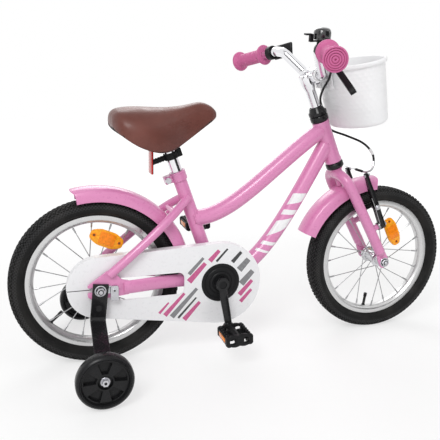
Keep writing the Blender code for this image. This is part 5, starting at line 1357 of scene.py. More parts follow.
def guard_split():
    """A thin black strip laid over the groove where the guard's rear end parts, from its edge to
    the axle: painted shade in the gap.
    """
    low = GUARD_OUTER - 0.0002
    back = 0.0008 - GUARD_REAR_RADIUS
    line = [(back, -0.0028), (back, -0.0014), (-0.020, -0.0014), (-0.020, -0.0028)]
    # A black sheet on the guard's face over the groove: painted shade.
    split = side_plate([line], low, low + 0.0004, PIN_BLACK, 0)
    goes_with("guard_split", split, "chain_guard", "black_plastic")


def guard_artwork():
    """Plain slanted bars of film on the guard, behind its disc and ahead of it."""
    ahead = Vector((math.cos(STRIPE_SLOPE), math.sin(STRIPE_SLOPE)))
    side = Vector((ahead.y, -ahead.x))
    low = GUARD_OUTER + 0.00004
    for label, x, y, length, width, tip_width, look in (
        ("a", 0.122, -0.068, 0.030, 0.0060, 0.0035, FILM_PINK),
        ("b", 0.134, -0.074, 0.062, 0.0100, 0.0060, FILM_PINK),
        ("c", 0.149, -0.079, 0.080, 0.0115, 0.0070, FILM_GREY),
        ("d", 0.163, -0.083, 0.058, 0.0050, 0.0035, FILM_BLACK),
        ("e", 0.176, -0.088, 0.050, 0.0110, 0.0070, FILM_PINK),
        ("f", 0.186, -0.004, 0.052, 0.0130, 0.0090, FILM_PINK),
        ("g", 0.1857, 0.0127, 0.046, 0.0085, 0.0060, FILM_GREY),
        ("h", 0.2313, 0.0382, 0.030, 0.0110, 0.0080, FILM_PINK),
        ("i", 0.2460, 0.0360, 0.036, 0.0050, 0.0040, FILM_BLACK),
        ("j", 0.3035, -0.0195, 0.038, 0.0150, 0.0115, FILM_GREY),
        ("k", 0.300, -0.044, 0.042, 0.0110, 0.0080, FILM_PINK),
        ("l", 0.3031, -0.0605, 0.036, 0.0090, 0.0065, FILM_PINK),
        ("m", 0.298, 0.013, 0.031, 0.0150, 0.0120, FILM_GREY),
        ("n", 0.282, 0.032, 0.029, 0.0090, 0.0070, FILM_BLACK),
    ):
        foot = Vector((x, y))
        head = foot + length * ahead
        outline = []
        for point, out in ((foot, -width), (foot, width), (head, tip_width), (head, -tip_width)):
            outline.append(point + side * out / 2)
        stripe = side_plate([outline], low, low + FILM, look, 0)
        goes_with(f"guard_bar_{label}", stripe, "chain_guard", "white_plastic")


def crank_direction(side):
    return Vector((math.sin(CRANK_ANGLE), 0, -math.cos(CRANK_ANGLE))) * -side


def pedal_axis(side):
    return BRACKET + CRANK_LENGTH * crank_direction(side) + side * PEDAL_OFFSET * ACROSS


def crank(label, side):
    """A forged arm with a raised middle, round eyes and a dust cap."""
    down = crank_direction(side)
    base = frame_matrix(BRACKET + side * 0.0603 * ACROSS, side * ACROSS, down)
    boss = [
        (0.0083, -0.008), (0.0142, -0.008), (0.015, -0.007), (0.015, 0.005), (0.0138, 0.0075),
        (0.0083, 0.008),
    ]
    spine = ((0.010, 0.002), (0.030, 0.0045), (0.060, 0.0125), (CRANK_LENGTH - 0.004, 0.0186))
    path = smooth_path([base @ Vector((along, 0, out)) for along, out in spine], 8)
    sections = []
    for index in range(len(path)):
        share = index / (len(path) - 1)
        sections.append(superellipse(0.0096 - 0.0020 * share, 0.0052 - 0.0006 * share, 28))
    eye = [
        (0.0050, -0.006), (0.0116, -0.006), (0.0125, -0.005), (0.0125, 0.005), (0.0116, 0.006),
        (0.0050, 0.006),
    ]
    foot = frame_matrix(BRACKET + CRANK_LENGTH * down + side * 0.079 * ACROSS, side * ACROSS, down)
    pieces = [
        lathe(boss, base, BLACK_PAINT, 48, closed=True),
        rod(base @ Vector((0, 0, 0.002)), base @ Vector((0, 0, 0.0068)), 0.0082, BLACK_PLASTIC, 40),
        sweep(path, sections, BLACK_PAINT, base.to_3x3() @ ACROSS),
        lathe(eye, foot, BLACK_PAINT, 44, closed=True),
    ]
    stand_for(pieces, f"{label}_crank")


def superellipse(half, thick, count, power=3.2):
    """A rounded oblong section, fuller than an ellipse."""
    points = []
    for x, y in round_section(1, count):
        x, y = (math.copysign(abs(share) ** (2 / power), share) for share in (x, y))
        points.append((half * x, thick * y))
    return points


def crank_disc():
    """The black cover in the guard's round hole, with stepped rings."""
    steps = (
        (-0.001, 0.045), (0, 0.046), (0, 0.0494), (0.0030, 0.0494), (0.0036, 0.0498),
        (0.0030, 0.0504), (-0.0012, 0.0504), (-0.0030, 0.0506), (-0.0044, 0.0496),
        (-0.0060, 0.0494), (-0.0078, 0.0508), (-0.0130, 0.0514), (-0.0146, 0.0504),
        (-0.0160, 0.0504), (-0.0176, 0.0516),
    )
    profile = [(0.0084, 0.045)] + [(GUARD_DISC_RADIUS + out, height) for out, height in steps]
    profile += [(0.0190, 0.0520), (0.0172, 0.0510), (0.0084, 0.0510)]
    stand_for(lathe(profile, side_plane(BRACKET), BLACK_PLASTIC, 96, closed=True), "crank_cover")


def pedal(label, side):
    """A moulded cage with a scalloped outer rail, a round barrel and two amber reflectors."""
    turned = Matrix.Translation(pedal_axis(side)) @ Matrix.Rotation(-PEDAL_TILT, 4, "Y")
    turned = turned @ Matrix.Scale(-side, 4, ACROSS)
    half, low, high = PEDAL_LENGTH / 2, -0.031, 0.031
    ridge = []
    for step in range(25):
        share = step / 24
        corner = max(0.0, abs(2 * share - 1) - 0.72) / 0.28
        wave = 0.0020 * abs(math.cos(3 * math.pi * share))
        height = PEDAL_HEIGHT / 2 - 0.0022 + wave - 0.0048 * corner**2
        ridge.append((-half + 2 * half * share, height))
    loops = [ridge + [(x, -z) for x, z in reversed(ridge)]]
    for x in (-0.51 * half, 0.51 * half):
        loops.append(rounded_box((x - 0.0064, -0.0062), (x + 0.0064, 0.0062), 0.0045, 5))
    wall_plane = turned @ Matrix.Rotation(math.radians(90), 4, "X")
    pieces = []
    for y, thick in ((high - 0.004, 0.006), (low + 0.004, 0.007)):
        pieces.append(
            plate(loops, -y - thick / 2, -y + thick / 2, wall_plane, BLACK_PLASTIC, 0.0007)
        )
    for x in (-1, 1):
        blocks = [
            (
                (0.0065, PEDAL_WIDTH - 0.006, 0.0150), (x * (half - 0.0038), 0, 0), BLACK_PLASTIC,
                0.0009,
            ),
            ((0.0022, PEDAL_WIDTH - 0.024, 0.0092), (x * (half - 0.0008), 0, 0), ORANGE, 0.0006),
        ]
        for y in (-0.020, -0.010, 0.0, 0.010, 0.020):
            blocks.append(
                ((0.0065, 0.0042, 0.0245), (x * (half - 0.0062), y, 0), BLACK_PLASTIC, 0.0007)
            )
        for size, centre, look, edge in blocks:
            pieces.append(block(size, centre, look, turned, edge))
    barrel = [(0.0051, -0.030), (0.0098, -0.030), (0.0105, -0.027), (0.0092, -0.020)]
    barrel += [(radius, -height) for radius, height in barrel[::-1]]
    pieces.append(lathe(barrel, turned @ upright(Vector()), BLACK_PLASTIC, 40, closed=True))
    for x in (-0.017, 0.017):
        for y in (-0.012, 0.012):
            pieces.append(block((0.018, 0.0045, 0.012), (x, y, 0), BLACK_PLASTIC, turned, 0.0006))
    for near, far, radius, look, sides in (
        (-0.0290, -0.0312, 0.0070, BLACK_PLASTIC, 32), (0.024, 0.0335, 0.0050, ZINC, 28)
    ):
        pieces.append(
            rod(turned @ Vector((0, near, 0)), turned @ Vector((0, far, 0)), radius, look, sides)
        )
    stand_for(pieces, label)


chain_guard_pieces()
guard_split()
guard_artwork()
crank_disc()
for label, side in SIDES.items():
    crank(label, side)
    pedal(f"{label}_pedal", side)


# Fork and brake

DROPOUT_THICKNESS = 0.005
PAD_RUBBER = plain_finish(
    "pad_rubber", (0.010, 0.010, 0.011, 1), 0.7, grain=(900.0, 0.00005), mottle=0.2
)
SLEEVE = plain_finish(
    "cable_sleeve", (0.72, 0.72, 0.72, 1), 0.4, grain=(900.0, 0.00002), mottle=0.03
)


def fork_piece():
    sides = (-BLADE_OFFSET, BLADE_OFFSET)
    right_end, left_end = (steer(BLADE_END, FORK_OFFSET - 0.002, y) for y in sides)
    crown = [steer(CROWN_HEIGHT, -0.004, y) for y in sides]
    top = steer(HEAD_TUBE_TOP + HEADSET_HEIGHT + LOCKNUT_HEIGHT - 0.002, 0)
    seat_ring = frame_matrix(steer(CROWN_HEIGHT + 0.0095, 0), STEER_UP, STEER_FORWARD)
    collar = [(0.012, 0), (0.0150, 0), (0.0172, 0.004), (0.0178, 0.0085), (0.012, 0.0085)]
    stub_low = MUDGUARD_RADIUS + FRONT_MUDGUARD_BACK * math.cos(HEAD_ANGLE) + 2 * GAP
    pieces = [
        tube(filleted([right_end, *crown, left_end], CROWN_BEND, 14), BLADE_RADIUS, PINK, 40),
        rod(steer(CROWN_HEIGHT, 0), top, STEERER_RADIUS, PINK, 40),
        lathe(collar, seat_ring, PINK, 48, closed=True),
        rod(steer(stub_low, -0.004), steer(CROWN_HEIGHT, -0.004), 0.006, PINK, 24),
    ]
    matrix = frame_matrix(FRONT_AXLE, STEER_UP, STEER_FORWARD)
    half = DROPOUT_THICKNESS / 2
    tab = filleted_outline(
        [
            (-0.013, -0.012), (0.011, -0.012), (0.012, 0.008), (0.0085, 0.034), (0.006, 0.041),
            (-0.008, 0.041), (-0.011, 0.034), (-0.014, 0.008),
        ],
        0.009,
    )
    for side in (RIGHT, LEFT):
        middle = side * (FRONT_DROPOUT_INNER + half)
        lying = matrix @ Matrix.Translation((0, middle, 0)) @ Matrix.Rotation(
            math.radians(90), 4, "X"
        )
        across = side * BRAKE_ARM_OFFSET
        start = steer(BRAKE_PIVOT_HEIGHT, FORK_OFFSET * 0.6, across)
        collar_end = steer(BRAKE_PIVOT_HEIGHT, BRAKE_PIVOT_FORWARD - 0.006 - GAP, across)
        end = steer(BRAKE_PIVOT_HEIGHT, BRAKE_PIVOT_FORWARD + 0.007, across)
        taper = steer(BLADE_END + 0.001, FORK_OFFSET - 0.002, side * BLADE_OFFSET)
        pieces += [
            plate([tab, circle((0, 0), AXLE_RADIUS + GAP, 24)], -half, half, lying, PINK, 0.0009),
            rod(
                taper, matrix @ Vector((-0.001, middle, 0.014)), BLADE_RADIUS, PINK, 40, 0.0046,
                0.001,
            ),
            rod(start, collar_end, 0.0078, PINK, 32, 0.0066),
            rod(collar_end, end, 0.004, ZINC, 24),
        ]
    stand_for(pieces, "fork")


def brake_side(label, side):
    """A pressed arm with a barrel, a bolt, a return spring and a finned shoe on a ball stud."""
    pivot = steer(BRAKE_PIVOT_HEIGHT, BRAKE_PIVOT_FORWARD)
    plane = frame_matrix(pivot, -STEER_FORWARD, STEER_UP)
    y = side * BRAKE_ARM_OFFSET
    edge = [
        (-0.009, 0.0045), (-0.004, 0.0085), (0.008, 0.0078), (0.030, 0.0070), (0.046, 0.0074),
        (0.060, 0.0062), (BRAKE_ARM_LENGTH, 0.0045),
    ]
    outline = [(-0.009, y - 0.0045)] + [(x, y + half) for x, half in edge]
    outline += [(x, y - half) for x, half in edge[:0:-1]]
    slot = rounded_box((0.044, y - 0.0032), (0.066, y + 0.0032), 0.0031, 6)
    arm = plate(
        [filleted_outline(outline, 0.0022), slot], -0.0058, 0.0058, plane, BLACK_PAINT, 0.0011, 2
    )
    for vert in arm.data.vertices:
        height = (vert.co - pivot).dot(STEER_UP) / BRAKE_ARM_LENGTH
        depth = (vert.co - pivot).dot(STEER_FORWARD)
        vert.co -= 0.42 * max(0.0, min(1.0, (height - 0.4) / 0.5)) * depth * STEER_FORWARD
    groove = rounded_box((0.020, y - 0.0016), (0.040, y + 0.0016), 0.0015, 5)
    tip = steer(BRAKE_PIVOT_HEIGHT + BRAKE_ARM_LENGTH - 0.006, BRAKE_PIVOT_FORWARD, y)
    front = steer(BRAKE_PIVOT_HEIGHT, BRAKE_PIVOT_FORWARD + 0.0058, y)
    coil = []
    for step in range(61):
        angle = 2 * math.pi * step / 15
        x, z = 0.0088 * math.cos(angle), 0.0068 + step / 60 * 0.0055
        coil.append(plane @ Vector((x, y + 0.0088 * math.sin(angle), z)))
    leg = []
    for x, away, z in ((0.006, 0.0088, 0.0075), (0.050, 0.0090, 0.0066), (0.074, 0.0060, 0.0066)):
        leg.append(plane @ Vector((x, y + side * away, z)))
    pieces = [
        arm, bar(tip, STEER_FORWARD, -0.0062, 0.0052, 0.0036, ZINC, 24),
        nut(tip, STEER_FORWARD, 0.0052, 0.0082, 0.0042),
        plate([groove], -0.0064, -0.0050, plane, BLACK_PLASTIC, 0.0003, 1),
        bar(front, STEER_FORWARD, 0, 0.0012, 0.0072, ZINC, 32),
        nut(front, STEER_FORWARD, 0.0012, 0.0050, 0.0052), tube(coil, 0.0007, SPOKE_METAL, 6),
        tube(leg, 0.0007, SPOKE_METAL, 6),
    ]
    pad_up = math.sqrt((RIM_RADIUS - 0.0075) ** 2 - 0.009**2)
    pad_low = RIM_WIDTH / 2 + 0.0022
    pad_frame = frame_matrix(FRONT_AXLE, STEER_UP, STEER_FORWARD)
    blocks = [
        ((0.044, 0.0040, 0.0095), 0.009, 0.0070, BLACK_PAINT, 0.0012),
        ((0.043, 0.0048, 0.0080), 0.009, 0.0024, PAD_RUBBER, 0.0008),
    ]
    for x in (-0.006, 0.001, 0.017, 0.024):
        blocks.append(((0.0022, 0.0052, 0.0086), x, 0.0024, PAD_RUBBER, 0.0004))
    for size, x, away, look, rounding in blocks:
        centre = (x, side * (pad_low + away), pad_up)
        pieces.append(block(size, centre, look, pad_frame, rounding))
    stud = FRONT_AXLE + pad_up * STEER_UP + (BRAKE_PIVOT_FORWARD - FORK_OFFSET) * STEER_FORWARD
    high = BRAKE_ARM_OFFSET + 0.011
    out = side * ACROSS
    pieces.append(bar(stud, out, pad_low + 0.004, high - 0.001, 0.0028, ZINC, 20))
    middle = BRAKE_ARM_OFFSET
    for low, far in ((-0.0125, -0.0075), (0.0062, 0.0075)):
        pieces.append(bar(stud, out, middle + low, middle + far, 0.0062, ZINC, 28))
    pieces.append(nut(stud, out, middle + 0.0075, high - 0.0005, 0.0052))
    stand_for(pieces, f"{label}_brake_arm")


# Handlebar


def bar_path():
    """The handlebar's centre line, from the right end to the left end."""
    rise = STEM_HEIGHT + BAR_RISE
    half = [
        (STEM_HEIGHT, STEM_REACH, 0.040), (rise - 0.002, 0.0054, BAR_BENDS[0]),
        (rise + 0.0016, 0.0033, BAR_BENDS[1]), (rise - 0.002, -0.0448, BAR_HALF_WIDTH - 0.0035),
    ]
    points = [steer(up, forward, -across) for up, forward, across in half[::-1]]
    return filleted(points + [steer(*point) for point in half], 0.022, 10)


def bar_point(across):
    path = bar_path()
    for low, high in zip(path, path[1:]):
        if low.y <= across <= high.y:
            return low.lerp(high, (across - low.y) / (high.y - low.y))
    return path[0] if across < 0 else path[-1]


def bar_direction(side):
    path = bar_path()
    return ((path[0] - path[1]) if side == RIGHT else (path[-1] - path[-2])).normalized()


def control_frame(side, hang):
    return frame_matrix(bar_point(side * CONTROL_OFFSET), bar_direction(side), hang)


def lever_frame():
    return control_frame(RIGHT, Vector((math.cos(LEVER_DROOP), 0, -math.sin(LEVER_DROOP))))


def stem_piece():
    matrix = frame_matrix(steer(0, 0), STEER_UP, STEER_FORWARD)
    knee = max(STEM_HEIGHT - 0.022, HEAD_TUBE_TOP + HEADSET_HEIGHT + LOCKNUT_HEIGHT + 3 * GAP)
    top = STEM_HEIGHT + 0.010
    post = [
        (0, 0.300), (QUILL_RADIUS, 0.3004), (QUILL_RADIUS, knee - 0.006), (0.0119, knee - 0.002),
        (0.0140, knee + 0.005), (0.0153, knee + 0.012), (0.0155, top - 0.006),
        (0.0148, top - 0.0018), (0.0130, top - 0.0002), (0.0086, top), (0.0080, top - 0.0010),
        (0, top - 0.0010),
    ]
    half = STEM_CLAMP_WIDTH / 2
    around = frame_matrix(steer(STEM_HEIGHT, STEM_REACH), ACROSS, STEER_FORWARD)
    outer, inner = STEM_CLAMP_RADIUS, BAR_RADIUS + GAP
    clamp = [
        (inner, -half), (outer - 0.003, -half), (outer - 0.0009, -half + 0.0012),
        (outer, -half + 0.0042),
    ]
    clamp += [(radius, -height) for radius, height in clamp[::-1]]
    low = STEM_HEIGHT - STEM_CLAMP_RADIUS
    ear = [
        steer(height, STEM_REACH + 0.002)
        for height in (STEM_HEIGHT - 0.008, low - 0.0012, low - 0.001, low - 0.005)
    ]
    pieces = [
        lathe(post, matrix, CHROME, 64, sharp=40),
        hexagon(steer(top - 0.0016, 0), steer(STEM_HEIGHT + 0.016, 0), 0.0068, CHROME),
        lathe(clamp, around, CHROME, 64, closed=True, sharp=40),
        rod(ear[0], ear[1], 0.0078, CHROME, 36, None, 0.001),
        hexagon(ear[2], ear[3], 0.0058, ZINC),
    ]
    stand_for(pieces, "stem")


GRIP_RINGS = (0.0205, 0.0165, 0.0120, 0.0075)
GRIP_RIBS = 9


def grip_piece(label, side):
    """Broad ends, low ribs between them, and stepped rings round the closed end's hole."""
    matrix = frame_matrix(bar_path()[0 if side == RIGHT else -1], bar_direction(side), STEER_UP)
    end = 0.004
    inner = end - GRIP_LENGTH
    body, flange = GRIP_RADIUS, GRIP_FLANGE_RADIUS
    profile = [(0, end - 0.0045), (0.0019, end - 0.0045), (0.0021, end - 0.0004)]
    for radius in GRIP_RINGS[::-1]:
        for step, drop in ((0.0020, 0.0004), (0.0016, 0.0026), (0.0004, 0.0026), (0, 0.0002)):
            profile.append((radius - step, end - drop))
    for step, drop in (
        (0.0016, 0), (0.0004, 0.0008), (0, 0.0030), (0.0008, 0.0060), (0.0032, 0.0078)
    ):
        profile.append((flange - step, end - drop))
    profile += [(body + 0.0012, end - 0.0092), (body, end - 0.0110)]
    start, stop = end - 0.016, inner + 0.016
    for rib in range(GRIP_RIBS):
        middle = start + (stop - start) * (rib + 0.5) / GRIP_RIBS
        for offset, drop in ((0.0026, 0.0), (0.0018, 0.0007), (-0.0018, 0.0007), (-0.0026, 0.0)):
            profile.append((body - drop, middle + offset))
    profile += [(body, inner + 0.0110), (body + 0.0012, inner + 0.0086)]
    for step, rise in (
        (0.0030, 0.0066), (0.0006, 0.0044), (0, 0.0022), (0.0010, 0.0006), (0.0026, 0)
    ):
        profile.append((flange - step, inner + rise))
    profile += [(BAR_RADIUS + GAP, inner), (BAR_RADIUS + GAP, GAP), (0, GAP)]
    stand_for(lathe(profile, matrix, GRIP, 72, sharp=50), f"{label}_grip")


def lever_pieces():
    """The clamp, hinge housing, cable barrel and the hooked blade."""
    matrix = lever_frame()
    half = CLAMP_WIDTH / 2
    pieces = [
        ring(BAR_RADIUS + GAP, 0.0158, -half, half, matrix, BLACK_PLASTIC, 48, 0.0009),
        block((0.025, 0.0125, 0.0235), (0.0268, 0, -0.005), BLACK_PLASTIC, matrix, 0.0022, 4),
        block((0.013, 0.0130, 0.0110), (0.0335, 0, 0.0015), BLACK_PLASTIC, matrix, 0.0020, 3),
    ]
    runs = [(-0.0120, -LEVER_BARREL_END, 0.0050, 24, 0.0044)]
    runs += [
        (-0.0150 - 0.0028 * step, -0.0164 - 0.0028 * step, 0.0054, 12, None) for step in range(3)
    ]
    for near, far, radius, sides, tip in runs:
        start, end = (matrix @ Vector((CONTROL_REACH, 0, height)) for height in (near, far))
        pieces.append(rod(start, end, radius, BLACK_PLASTIC, sides, tip))
    out = (matrix.to_3x3() @ ACROSS).normalized()
    for place, reach, radius in (
        ((CONTROL_REACH, 0, 0.006), 0.0070, 0.0026), ((-0.0150, 0, 0), 0.0042, 0.0030)
    ):
        pieces.append(bar(matrix @ Vector(place), out, -reach, reach, radius, ZINC, 20))
    stand_for(pieces, "lever_bracket")
    start = half + 0.0005 + GAP
    base, tip, end = CONTROL_REACH, CONTROL_REACH + 0.034, -LEVER_LENGTH
    outline = [
        (base + 0.002, -start), (base + 0.008, -0.030), (base + 0.018, -0.052),
        (tip - 0.002, end + 0.006), (tip + 0.006, end), (tip + 0.012, end),
        (tip + 0.011, end + 0.018), (base + 0.034, -0.050), (base + 0.027, -0.030),
        (base + 0.015, -start),
    ]
    plane = matrix @ Matrix.Rotation(-math.pi / 2, 4, "X")
    blade = [filleted_outline(outline, 0.006, 5)]
    stand_for(plate(blade, -0.0058, 0.0058, plane, BLACK_PLASTIC, 0.0026, 4), "brake_lever")


def front_reflector_piece():
    matrix = control_frame(LEFT, FORWARD)
    half = CLAMP_WIDTH / 2
    pieces = [ring(BAR_RADIUS + GAP, 0.0158, -half, half, matrix, BLACK_PLASTIC, 48, 0.0009)]
    for size, centre, look, edge in (
        ((0.011, 0.0100, 0.016), (0.0165, 0, 0), BLACK_PLASTIC, 0.0014),
        ((0.0075, 0.0320, 0.0590), (0.0205, -0.0030, -0.0185), BLACK_PLASTIC, 0.0034),
        ((0.0034, 0.0250, 0.0520), (0.0246, -0.0030, -0.0190), CLEAR, 0.0012),
    ):
        pieces.append(block(size, centre, look, matrix, edge, 3))
    stand_for(pieces, "front_reflector")


def bell_pieces():
    """A black bell with a banded side, a domed top, its strap and foot."""
    middle = bar_point(-BELL_OFFSET)
    along = bar_direction(RIGHT)
    up = (UPWARD - along * along.z).normalized()
    matrix = frame_matrix(middle, up, FORWARD)
    base, radius = BAR_RADIUS + BELL_FOOT_HEIGHT, BELL_RADIUS
    high = base + BELL_HEIGHT
    profile = [(0, high)]
    for share, drop in (
        (0.22, 0.0001), (0.50, 0.0006), (0.74, 0.0020), (0.88, 0.0042), (0.955, 0.0072),
        (0.965, 0.0084), (0.985, 0.0090), (1, 0.0105),
    ):
        profile.append((radius * share, high - drop))
    for share, rise in (
        (1, 0.0078), (0.985, 0.0070), (0.985, 0.0062), (1, 0.0054), (1, 0.0036), (0.97, 0.0030),
        (0, 0.0030),
    ):
        profile.append((radius * share, base + rise))
    run = bar_point(-BELL_OFFSET - 0.001) - bar_point(-BELL_OFFSET + 0.001)
    strap = frame_matrix(middle, run, STEER_UP)
    pieces = [
        lathe(profile, matrix, BELL_LOOK, 72, sharp=40),
        bar(middle, up, BAR_RADIUS - 0.004, base + 0.006, 0.0100, BLACK_PLASTIC, 40),
        ring(BAR_RADIUS + GAP, BAR_RADIUS + 0.003, -0.005, 0.005, strap, BLACK_PLASTIC, 48, 0.0006),
    ]
    stand_for(pieces, "bell")


# Basket

BASKET_LOOK = plain_finish(
    "basket_plastic", (0.87, 0.87, 0.88, 1), 0.38, grain=(400.0, 0.000003), mottle=0.008
)
for key, value in (("Weight", 0.35), ("Scale", 0.006), ("Radius", (1, 1, 1))):
    BASKET_LOOK.node_tree.nodes["Principled BSDF"].inputs[f"Subsurface {key}"].default_value = value


def basket_matrix():
    up = Vector((-math.sin(BASKET_LEAN), 0, math.cos(BASKET_LEAN)))
    origin = steer(STEM_HEIGHT, STEM_REACH) + Vector((BASKET_FORWARD, 0, BASKET_ABOVE))
    return frame_matrix(origin, up, FORWARD)


def basket_piece():
    """A tapered oval tub: a rolled lip, courses of low dimples and a rounded floor edge."""
    shape = bmesh.new()
    sides, courses, corner = 216, 108, 0.009
    lip, wall = BASKET_LIP, BASKET_WALL

    def loop(height, shrink, dents=None):
        scale = 1 - (1 - BASKET_TAPER) * (-height / BASKET_HEIGHT)
        line = []
        for turn in range(sides):
            angle = 2 * math.pi * turn / sides
            dent = dents[turn] if dents else 0.0
            x = (BASKET_DEPTH / 2 * scale - shrink + dent) * math.cos(angle)
            y = (BASKET_WIDTH / 2 * scale - shrink + dent) * math.sin(angle)
            line.append(shape.verts.new((x, y, height)))
        return line

    outer = []
    for step in range(courses + 1):
        share = step / courses
        height = -BASKET_HEIGHT * share
        if height >= -0.0104:
            continue
        row = share * 15
        shift = 0.5 * (int(row) % 2)
        dents = []
        for turn in range(sides):
            across = abs(math.sin(math.pi * (turn / sides * 36 + shift)))
            along = abs(math.sin(math.pi * row))
            inside = 1.0 if 0.5 < row < 14.3 else 0.0
            dents.append(-0.00045 * inside * min(1.0, 1.9 * along * across) ** 2)
        near_floor = max(0.0, corner - (height + BASKET_HEIGHT))
        bend = math.sqrt(max(0.0, corner * corner - near_floor * near_floor))
        outer.append(loop(height, corner - bend, dents))
    lips = []
    for shrink, height in (
        (-0.0006, -0.0100), (-lip * 0.75, -0.0094), (-lip, -0.0080), (-lip, -0.0024),
        (-lip + 0.0010, -0.0004), (-lip + 0.0024, 0.0), (0.0004, -0.0004), (wall, -0.0024),
    ):
        lips.append(loop(height, shrink))
    inner = [loop(-BASKET_HEIGHT * share, wall) for share in (0.10, 0.35, 0.65, 0.88)]
    inner += [loop(-BASKET_HEIGHT + 0.005, wall + 0.003), loop(-BASKET_HEIGHT + wall, wall + 0.010)]
    chain = inner[::-1] + lips[::-1] + outer
    skin(shape, chain, False, True, True)
    shape.faces.new(chain[0])
    shape.faces.new(chain[-1][::-1])
    stand_for(keep(shape, BASKET_LOOK, basket_matrix(), 50), "basket")


def basket_holder():
    """A plate behind the tub with two straps that hook round the bar."""
    matrix = basket_matrix()
    back = -BASKET_DEPTH / 2 - 0.0005
    pieces = [
        block((0.003, 0.080, 0.038), (back - 0.0015, 0, -0.026), BASKET_LOOK, matrix, 0.0012, 3)
    ]
    for y in (-0.030, -0.010, 0.010, 0.030):
        pieces.append(
            block((0.0016, 0.0030, 0.032), (back - 0.0034, y, -0.026), BASKET_LOOK, matrix, 0.0006)
        )
    centre = steer(STEM_HEIGHT, STEM_REACH)
    around = frame_matrix(centre, ACROSS, STEER_FORWARD)
    for side in (RIGHT, LEFT):
        across = side * BASKET_HOOK_OFFSET
        end = matrix @ Vector((back - 0.001, across, -0.032))
        start = centre + across * ACROSS
        run = end - start
        link = frame_matrix(start.lerp(end, 0.5) + 0.006 * run.normalized(), run, ACROSS)
        screw = [matrix @ Vector((back - depth, across, -0.018)) for depth in (0.0030, 0.0058)]
        pieces += [
            ring(
                BAR_RADIUS + GAP, 0.0145, across - 0.0035, across + 0.0035, around, BASKET_LOOK, 48,
                0.0010,
            ),
            block((0.0068, 0.0078, run.length - 0.012), (0, 0, 0), BASKET_LOOK, link, 0.0014, 3),
            rod(*screw, 0.0042, ZINC, 28),
        ]
    stand_for(pieces, "basket_bracket")


# Seat


def leather():
    """Smooth brown cover with a soft sheen, its brown drifting lighter and darker in patches."""
    made = Finish("brown_cover", 0.38, 0.0, 0.06)
    made.set("Specular IOR Level", 0.30)
    drift = made.range(made.noise(16.0, 4.0), 0.35, 0.7)
    made.set("Base Color", made.mix(drift, (0.118, 0.036, 0.027, 1), (0.160, 0.052, 0.040, 1)))
    made.set("Roughness", made.range(made.noise(48.0, 4.0), 0.3, 0.7, 0.34, 0.50))
    cells = made.node(
        "ShaderNodeTexVoronoi", {"feature": "DISTANCE_TO_EDGE"}, Vector=made.place, Scale=620.0
    )
    made.bump(cells.outputs["Distance"], 0.00010)
    return made.material


LEATHER = leather()
SADDLE_BASE = plain_finish(
    "saddle_base", (0.018, 0.014, 0.013, 1), 0.55, grain=(900.0, 0.00005), mottle=0.2
)


COVER_STATIONS = (
    (-0.106, 0.030, -0.017, -0.036),
    (-0.101, 0.050, -0.009, -0.044),
    (-0.089, 0.068, -0.003, -0.055),
    *SADDLE_STATIONS[2:6],
    (0.077, 0.027, 0.010, -0.045),
    (0.098, 0.0215, 0.004, -0.031),
    (0.109, 0.0140, -0.004, -0.023),
    (0.113, 0.0085, -0.010, -0.019),
)


def saddle_shape():
    """The saddle's crowned form, with a hollow underside."""
    centre = seat(POST_TOP).x
    seat_top = seat(POST_TOP, POST_RADIUS).z + GAP
    stations = smooth_path([station[:3] for station in COVER_STATIONS], 3)
    lows = smooth_path([(station[0], station[3], 0) for station in COVER_STATIONS], 3)
    shape = bmesh.new()
    loops = []
    for (forward, half, top), low_point in zip(stations, lows):
        top = SADDLE_HEIGHT + top
        low = SADDLE_HEIGHT + low_point.y
        deep = top - low
        under = max(low + 0.004, seat_top)
        section = [
            (0, top), (0.25, top - 0.0006), (0.45, top - 0.002), (0.66, top - 0.10 * deep),
            (0.82, top - 0.25 * deep), (0.94, top - 0.43 * deep), (1.0, top - 0.62 * deep),
            (1.0, top - 0.82 * deep), (0.975, low + 0.0012), (0.95, low), (0.80, low + 0.001),
            (0.66, under), (0, under),
        ]
        section += [(-share, height) for share, height in section[-2:0:-1]]
        x = centre + forward
        loops.append([shape.verts.new((x, share * half, height)) for share, height in section])
    skin(shape, loops, False, True, True)
    shape.faces.new(loops[0][::-1])
    shape.faces.new(loops[-1])
    obj = keep(shape, LEATHER, None, 80)
    rounding = obj.modifiers.new("Rounding", "SUBSURF")
    rounding.levels = rounding.render_levels = 2
    return settled(obj, 60)


def saddle_pieces():
    cover = saddle_shape()
    cover.data.materials.append(SADDLE_BASE)
    for face in cover.data.polygons:
        if face.normal.z < -0.80:
            face.material_index = 1
    stand_for(cover, "saddle")
    centre = seat(POST_TOP).x
    for label, side in SIDES.items():
        lower = []
        for forward, half, _, low in SADDLE_STATIONS[1:-1]:
            lower.append(
                (centre + forward * 0.985, side * (half * 0.955), SADDLE_HEIGHT + low + 0.0030)
            )
        edge = tube(smooth_path(lower, 5), 0.0011, SADDLE_BASE, 8)
        goes_with(f"saddle_{label}_edge", edge, "saddle", "black_plastic")


